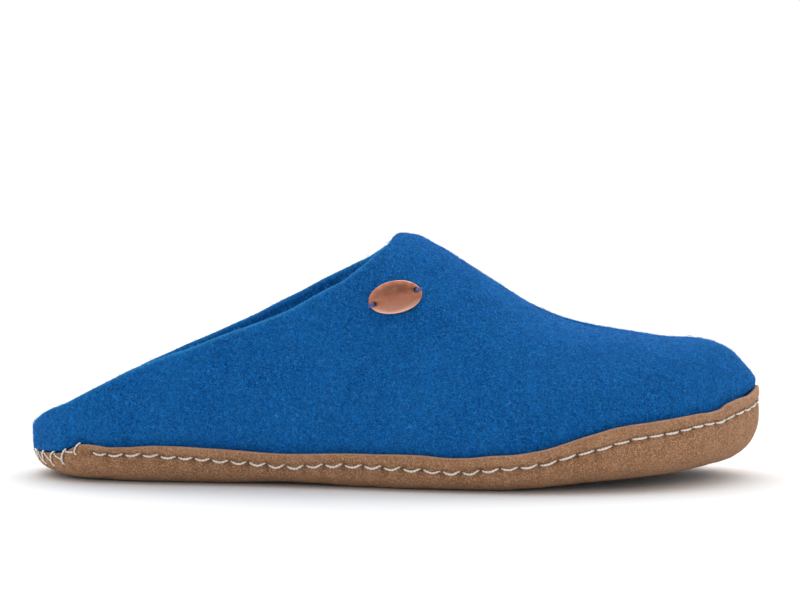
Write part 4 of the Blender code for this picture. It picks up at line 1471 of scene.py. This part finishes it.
def make_badge():
    """A thin oval of copper, slightly domed, with a rolled rim and two holes."""
    here, long_way, short_way, out = badge_frame()
    long, short = 0.5 * BADGE_LONG, 0.5 * BADGE_SHORT
    around = np.linspace(0.0, 2.0 * math.pi, 144, endpoint=False)
    rings = [(0.975, -0.5), (0.995, -0.38), (1.0, -0.1), (0.996, 0.08), (0.984, 0.2), (0.965, 0.27)]
    rings += [(s, 0.27 + 0.34 * (1.0 - (s / 0.965) ** 2)) for s in (0.93, 0.87, 0.78, 0.68, 0.56, 0.44, 0.32, 0.2, 0.08)]
    points, faces = [], []
    for share, z in rings:
        for t in around:
            points.append((long * share * math.cos(t), short * share * math.sin(t), z))
    count = len(around)
    for r in range(len(rings) - 1):
        for n in range(count):
            m = (n + 1) % count
            faces.append([r * count + n, r * count + m, (r + 1) * count + m, (r + 1) * count + n])
    faces.append([(len(rings) - 1) * count + n for n in range(count)])
    faces.append(list(range(count))[::-1])
    mesh = mesh_of("badge_blank", points, faces)
    blank = bpy.data.objects.new("badge_blank", mesh)
    bpy.context.scene.collection.objects.link(blank)
    drills = []
    for side in (-1, 1):
        hole = hole_at(side)
        p, f = tube([(hole[0], hole[1], z) for z in (-2.0, -1.0, 1.0, 2.0)], HOLE_SHOWN, 28, 1.0)
        drill = bpy.data.objects.new("badge_drill", mesh_of("badge_drill", p, f))
        shape = bmesh.new()
        shape.from_mesh(drill.data)
        bmesh.ops.recalc_face_normals(shape, faces=shape.faces)
        shape.to_mesh(drill.data)
        shape.free()
        bpy.context.scene.collection.objects.link(drill)
        cut = blank.modifiers.new("hole", "BOOLEAN")
        cut.operation, cut.object, cut.solver = "DIFFERENCE", drill, "EXACT"
        drills.append(drill)
    bpy.context.view_layer.update()
    graph = bpy.context.evaluated_depsgraph_get()
    done = blank.evaluated_get(graph).to_mesh()
    local = np.array([v.co for v in done.vertices]) / MM
    polys = [list(p.vertices) for p in done.polygons]
    for obj in [blank, *drills]:
        bpy.data.objects.remove(obj, do_unlink=True)
    centre = here + out * (GAP + 0.45 + 0.5 * BADGE_THICK)
    world = (
        centre
        + local[:, :1] * long_way
        + local[:, 1:2] * short_way
        + local[:, 2:] * out
    )
    # It bends a little with the felt under it.
    world -= out * (0.0045 * local[:, :1] ** 2)
    radius = np.sqrt((local[:, 0] / long) ** 2 + (local[:, 1] / short) ** 2)
    # Painted shade on the rim wall and back; over the upper middle a painted dark reflection, partly tarnish; real
    # tarnish round the holes.
    patina_shade_and_reflection = 0.55 * smooth_step((0.02 - local[:, 2]) / 0.3)
    upper = smooth_step((local[:, 1] / short + 0.15) / 0.5) * smooth_step((0.93 - radius) / 0.25)
    patina_shade_and_reflection = np.maximum(patina_shade_and_reflection, 0.6 * upper)
    for side in (-1, 1):
        hole = hole_at(side)
        away = np.hypot(local[:, 0] - hole[0], local[:, 1] - hole[1])
        patina_shade_and_reflection = np.maximum(patina_shade_and_reflection, 0.9 * np.exp(-(((away - BADGE_HOLE) / 0.5) ** 2)))
    # Painted reflection: the lower part, and most of all its rim, made bright.
    low = smooth_step((-0.2 - local[:, 1] / short) / 0.5)
    painted_rim_reflection = 0.9 * np.exp(-(((radius - 0.93) / 0.075) ** 2)) * low + 0.35 * low
    painted_rim_reflection *= local[:, 2] > 0.0
    layers = {"patina_shade_and_reflection": patina_shade_and_reflection, "painted_rim_reflection": painted_rim_reflection}
    obj = add_piece(
        "badge_plate", world, polys, "badge", COPPER, layers
    )
    obj.data.set_sharp_from_angle(angle=math.radians(50.0))

    parts = []
    for side in (-1, 1):
        hole = hole_at(side)
        for n, off in enumerate((-0.42, 0.1, 0.5)):
            def at(further, v, w):
                u = hole[0] + side * further
                drop = 0.0045 * u * u
                return centre + long_way * u + short_way * (hole[1] + v) + out * (w - drop)
            path = [
                at(-0.15, off * 0.6, -0.9),
                at(0.0, off * 0.7, 0.1),
                at(0.6, off * 0.9, 0.62),
                at(1.5, off, 0.52),
                at(2.2, off * 1.3, 0.1),
                at(2.7, off * 1.5, -1.0),
            ]
            parts += plied(smooth_path(path, 18), 0.19, lay=1.2, start=n + side)
    points, faces = join_parts(parts)
    add_piece("badge_thread", points, faces, None, BLUE_THREAD)


# -------------------------------------------------------------- the stage
def make_stage():
    mesh = mesh_of("floor", [(-6000, -6000, 0), (6000, -6000, 0), (6000, 6000, 0), (-6000, 6000, 0)], [[0, 1, 2, 3]])
    floor = bpy.data.objects.new("floor", mesh)
    bpy.context.scene.collection.objects.link(floor)
    floor.location.z = -0.0001
    made, tree, shader = clean_material("floor_paper")
    shader.inputs["Base Color"].default_value = (0.93, 0.93, 0.93, 1.0)
    shader.inputs["Roughness"].default_value = 0.9
    shader.inputs["Specular IOR Level"].default_value = 0.1
    mesh.materials.append(made)

    # Light comes from all round, most of it from above and behind, and a thin
    # bright band lies along the horizon behind the paper's edge.
    world = bpy.data.worlds.new("studio")
    bpy.context.scene.world = world
    world.use_nodes = True
    tree = world.node_tree
    back = tree.nodes["Background"]
    back.inputs["Color"].default_value = (1.0, 1.0, 1.0, 1.0)
    way = add(tree, "ShaderNodeTexCoord").outputs["Generated"]

    def facing(direction):
        node = add(tree, "ShaderNodeVectorMath", operation="DOT_PRODUCT")
        tree.links.new(way, node.inputs[0])
        node.inputs[1].default_value = direction
        return sums(tree, "MAXIMUM", node.outputs["Value"], 0.0)

    high = sums(tree, "POWER", facing(SKY_FROM), SKY_FOCUS)
    light = sums(tree, "ADD", sums(tree, "MULTIPLY", high, SKY_KEY), SKY_FILL)
    front = sums(tree, "POWER", facing((-0.15, -0.99, 0.0)), 6.0)
    light = sums(tree, "ADD", light, sums(tree, "MULTIPLY", front, SKY_FRONT))
    for way_x in (-0.91, 0.91):
        side = sums(tree, "POWER", facing((way_x, 0.10, 0.40)), 4.0)
        light = sums(tree, "ADD", light, sums(tree, "MULTIPLY", side, SKY_SIDE))
    axis = add(tree, "ShaderNodeSeparateXYZ")
    tree.links.new(way, axis.inputs[0])
    level = axis.outputs["Z"]
    band = sums(tree, "MULTIPLY", ranged(tree, level, -0.10, -0.04), ranged(tree, level, 0.16, 0.08))
    near_one = add(tree, "ShaderNodeMix", data_type="FLOAT")
    tree.links.new(band, near_one.inputs[0])
    tree.links.new(light, near_one.inputs[2])
    near_one.inputs[3].default_value = 1.03
    total = sums(tree, "MAXIMUM", near_one.outputs[0], sums(tree, "MULTIPLY", front, SKY_FRONT))
    tree.links.new(total, back.inputs["Strength"])


def make_camera():
    """The photo's view: level with the slipper, a little above and towards the toe."""
    turn, lift = math.radians(4.5), math.radians(4.6)
    aim = Vector((0.0024, 0.0, 0.0685))
    back = Vector(
        (math.sin(turn) * math.cos(lift), -math.cos(turn) * math.cos(lift), math.sin(lift))
    )
    lens = bpy.data.cameras.new("camera")
    lens.sensor_width = 36.0
    lens.lens = 3345.0 * 36.0 / 800.0
    lens.clip_start, lens.clip_end = 0.05, 50.0
    camera = bpy.data.objects.new("camera", lens)
    bpy.context.scene.collection.objects.link(camera)
    camera.location = aim + back * 1.3
    camera.rotation_euler = (-back).to_track_quat("-Z", "Y").to_euler()
    bpy.context.scene.camera = camera
    bpy.context.scene.view_settings.view_transform = "Standard"


make_camera()
make_stage()
felt_surface, felt_faces, felt_normals, felt_away = make_felt()
make_fuzz(felt_surface, felt_faces, felt_normals, felt_away)
RAND = Rand(800)
make_suede(RAND)
make_running_stitches(RAND)
make_heel_stitches(RAND)
make_footbed()
make_badge()
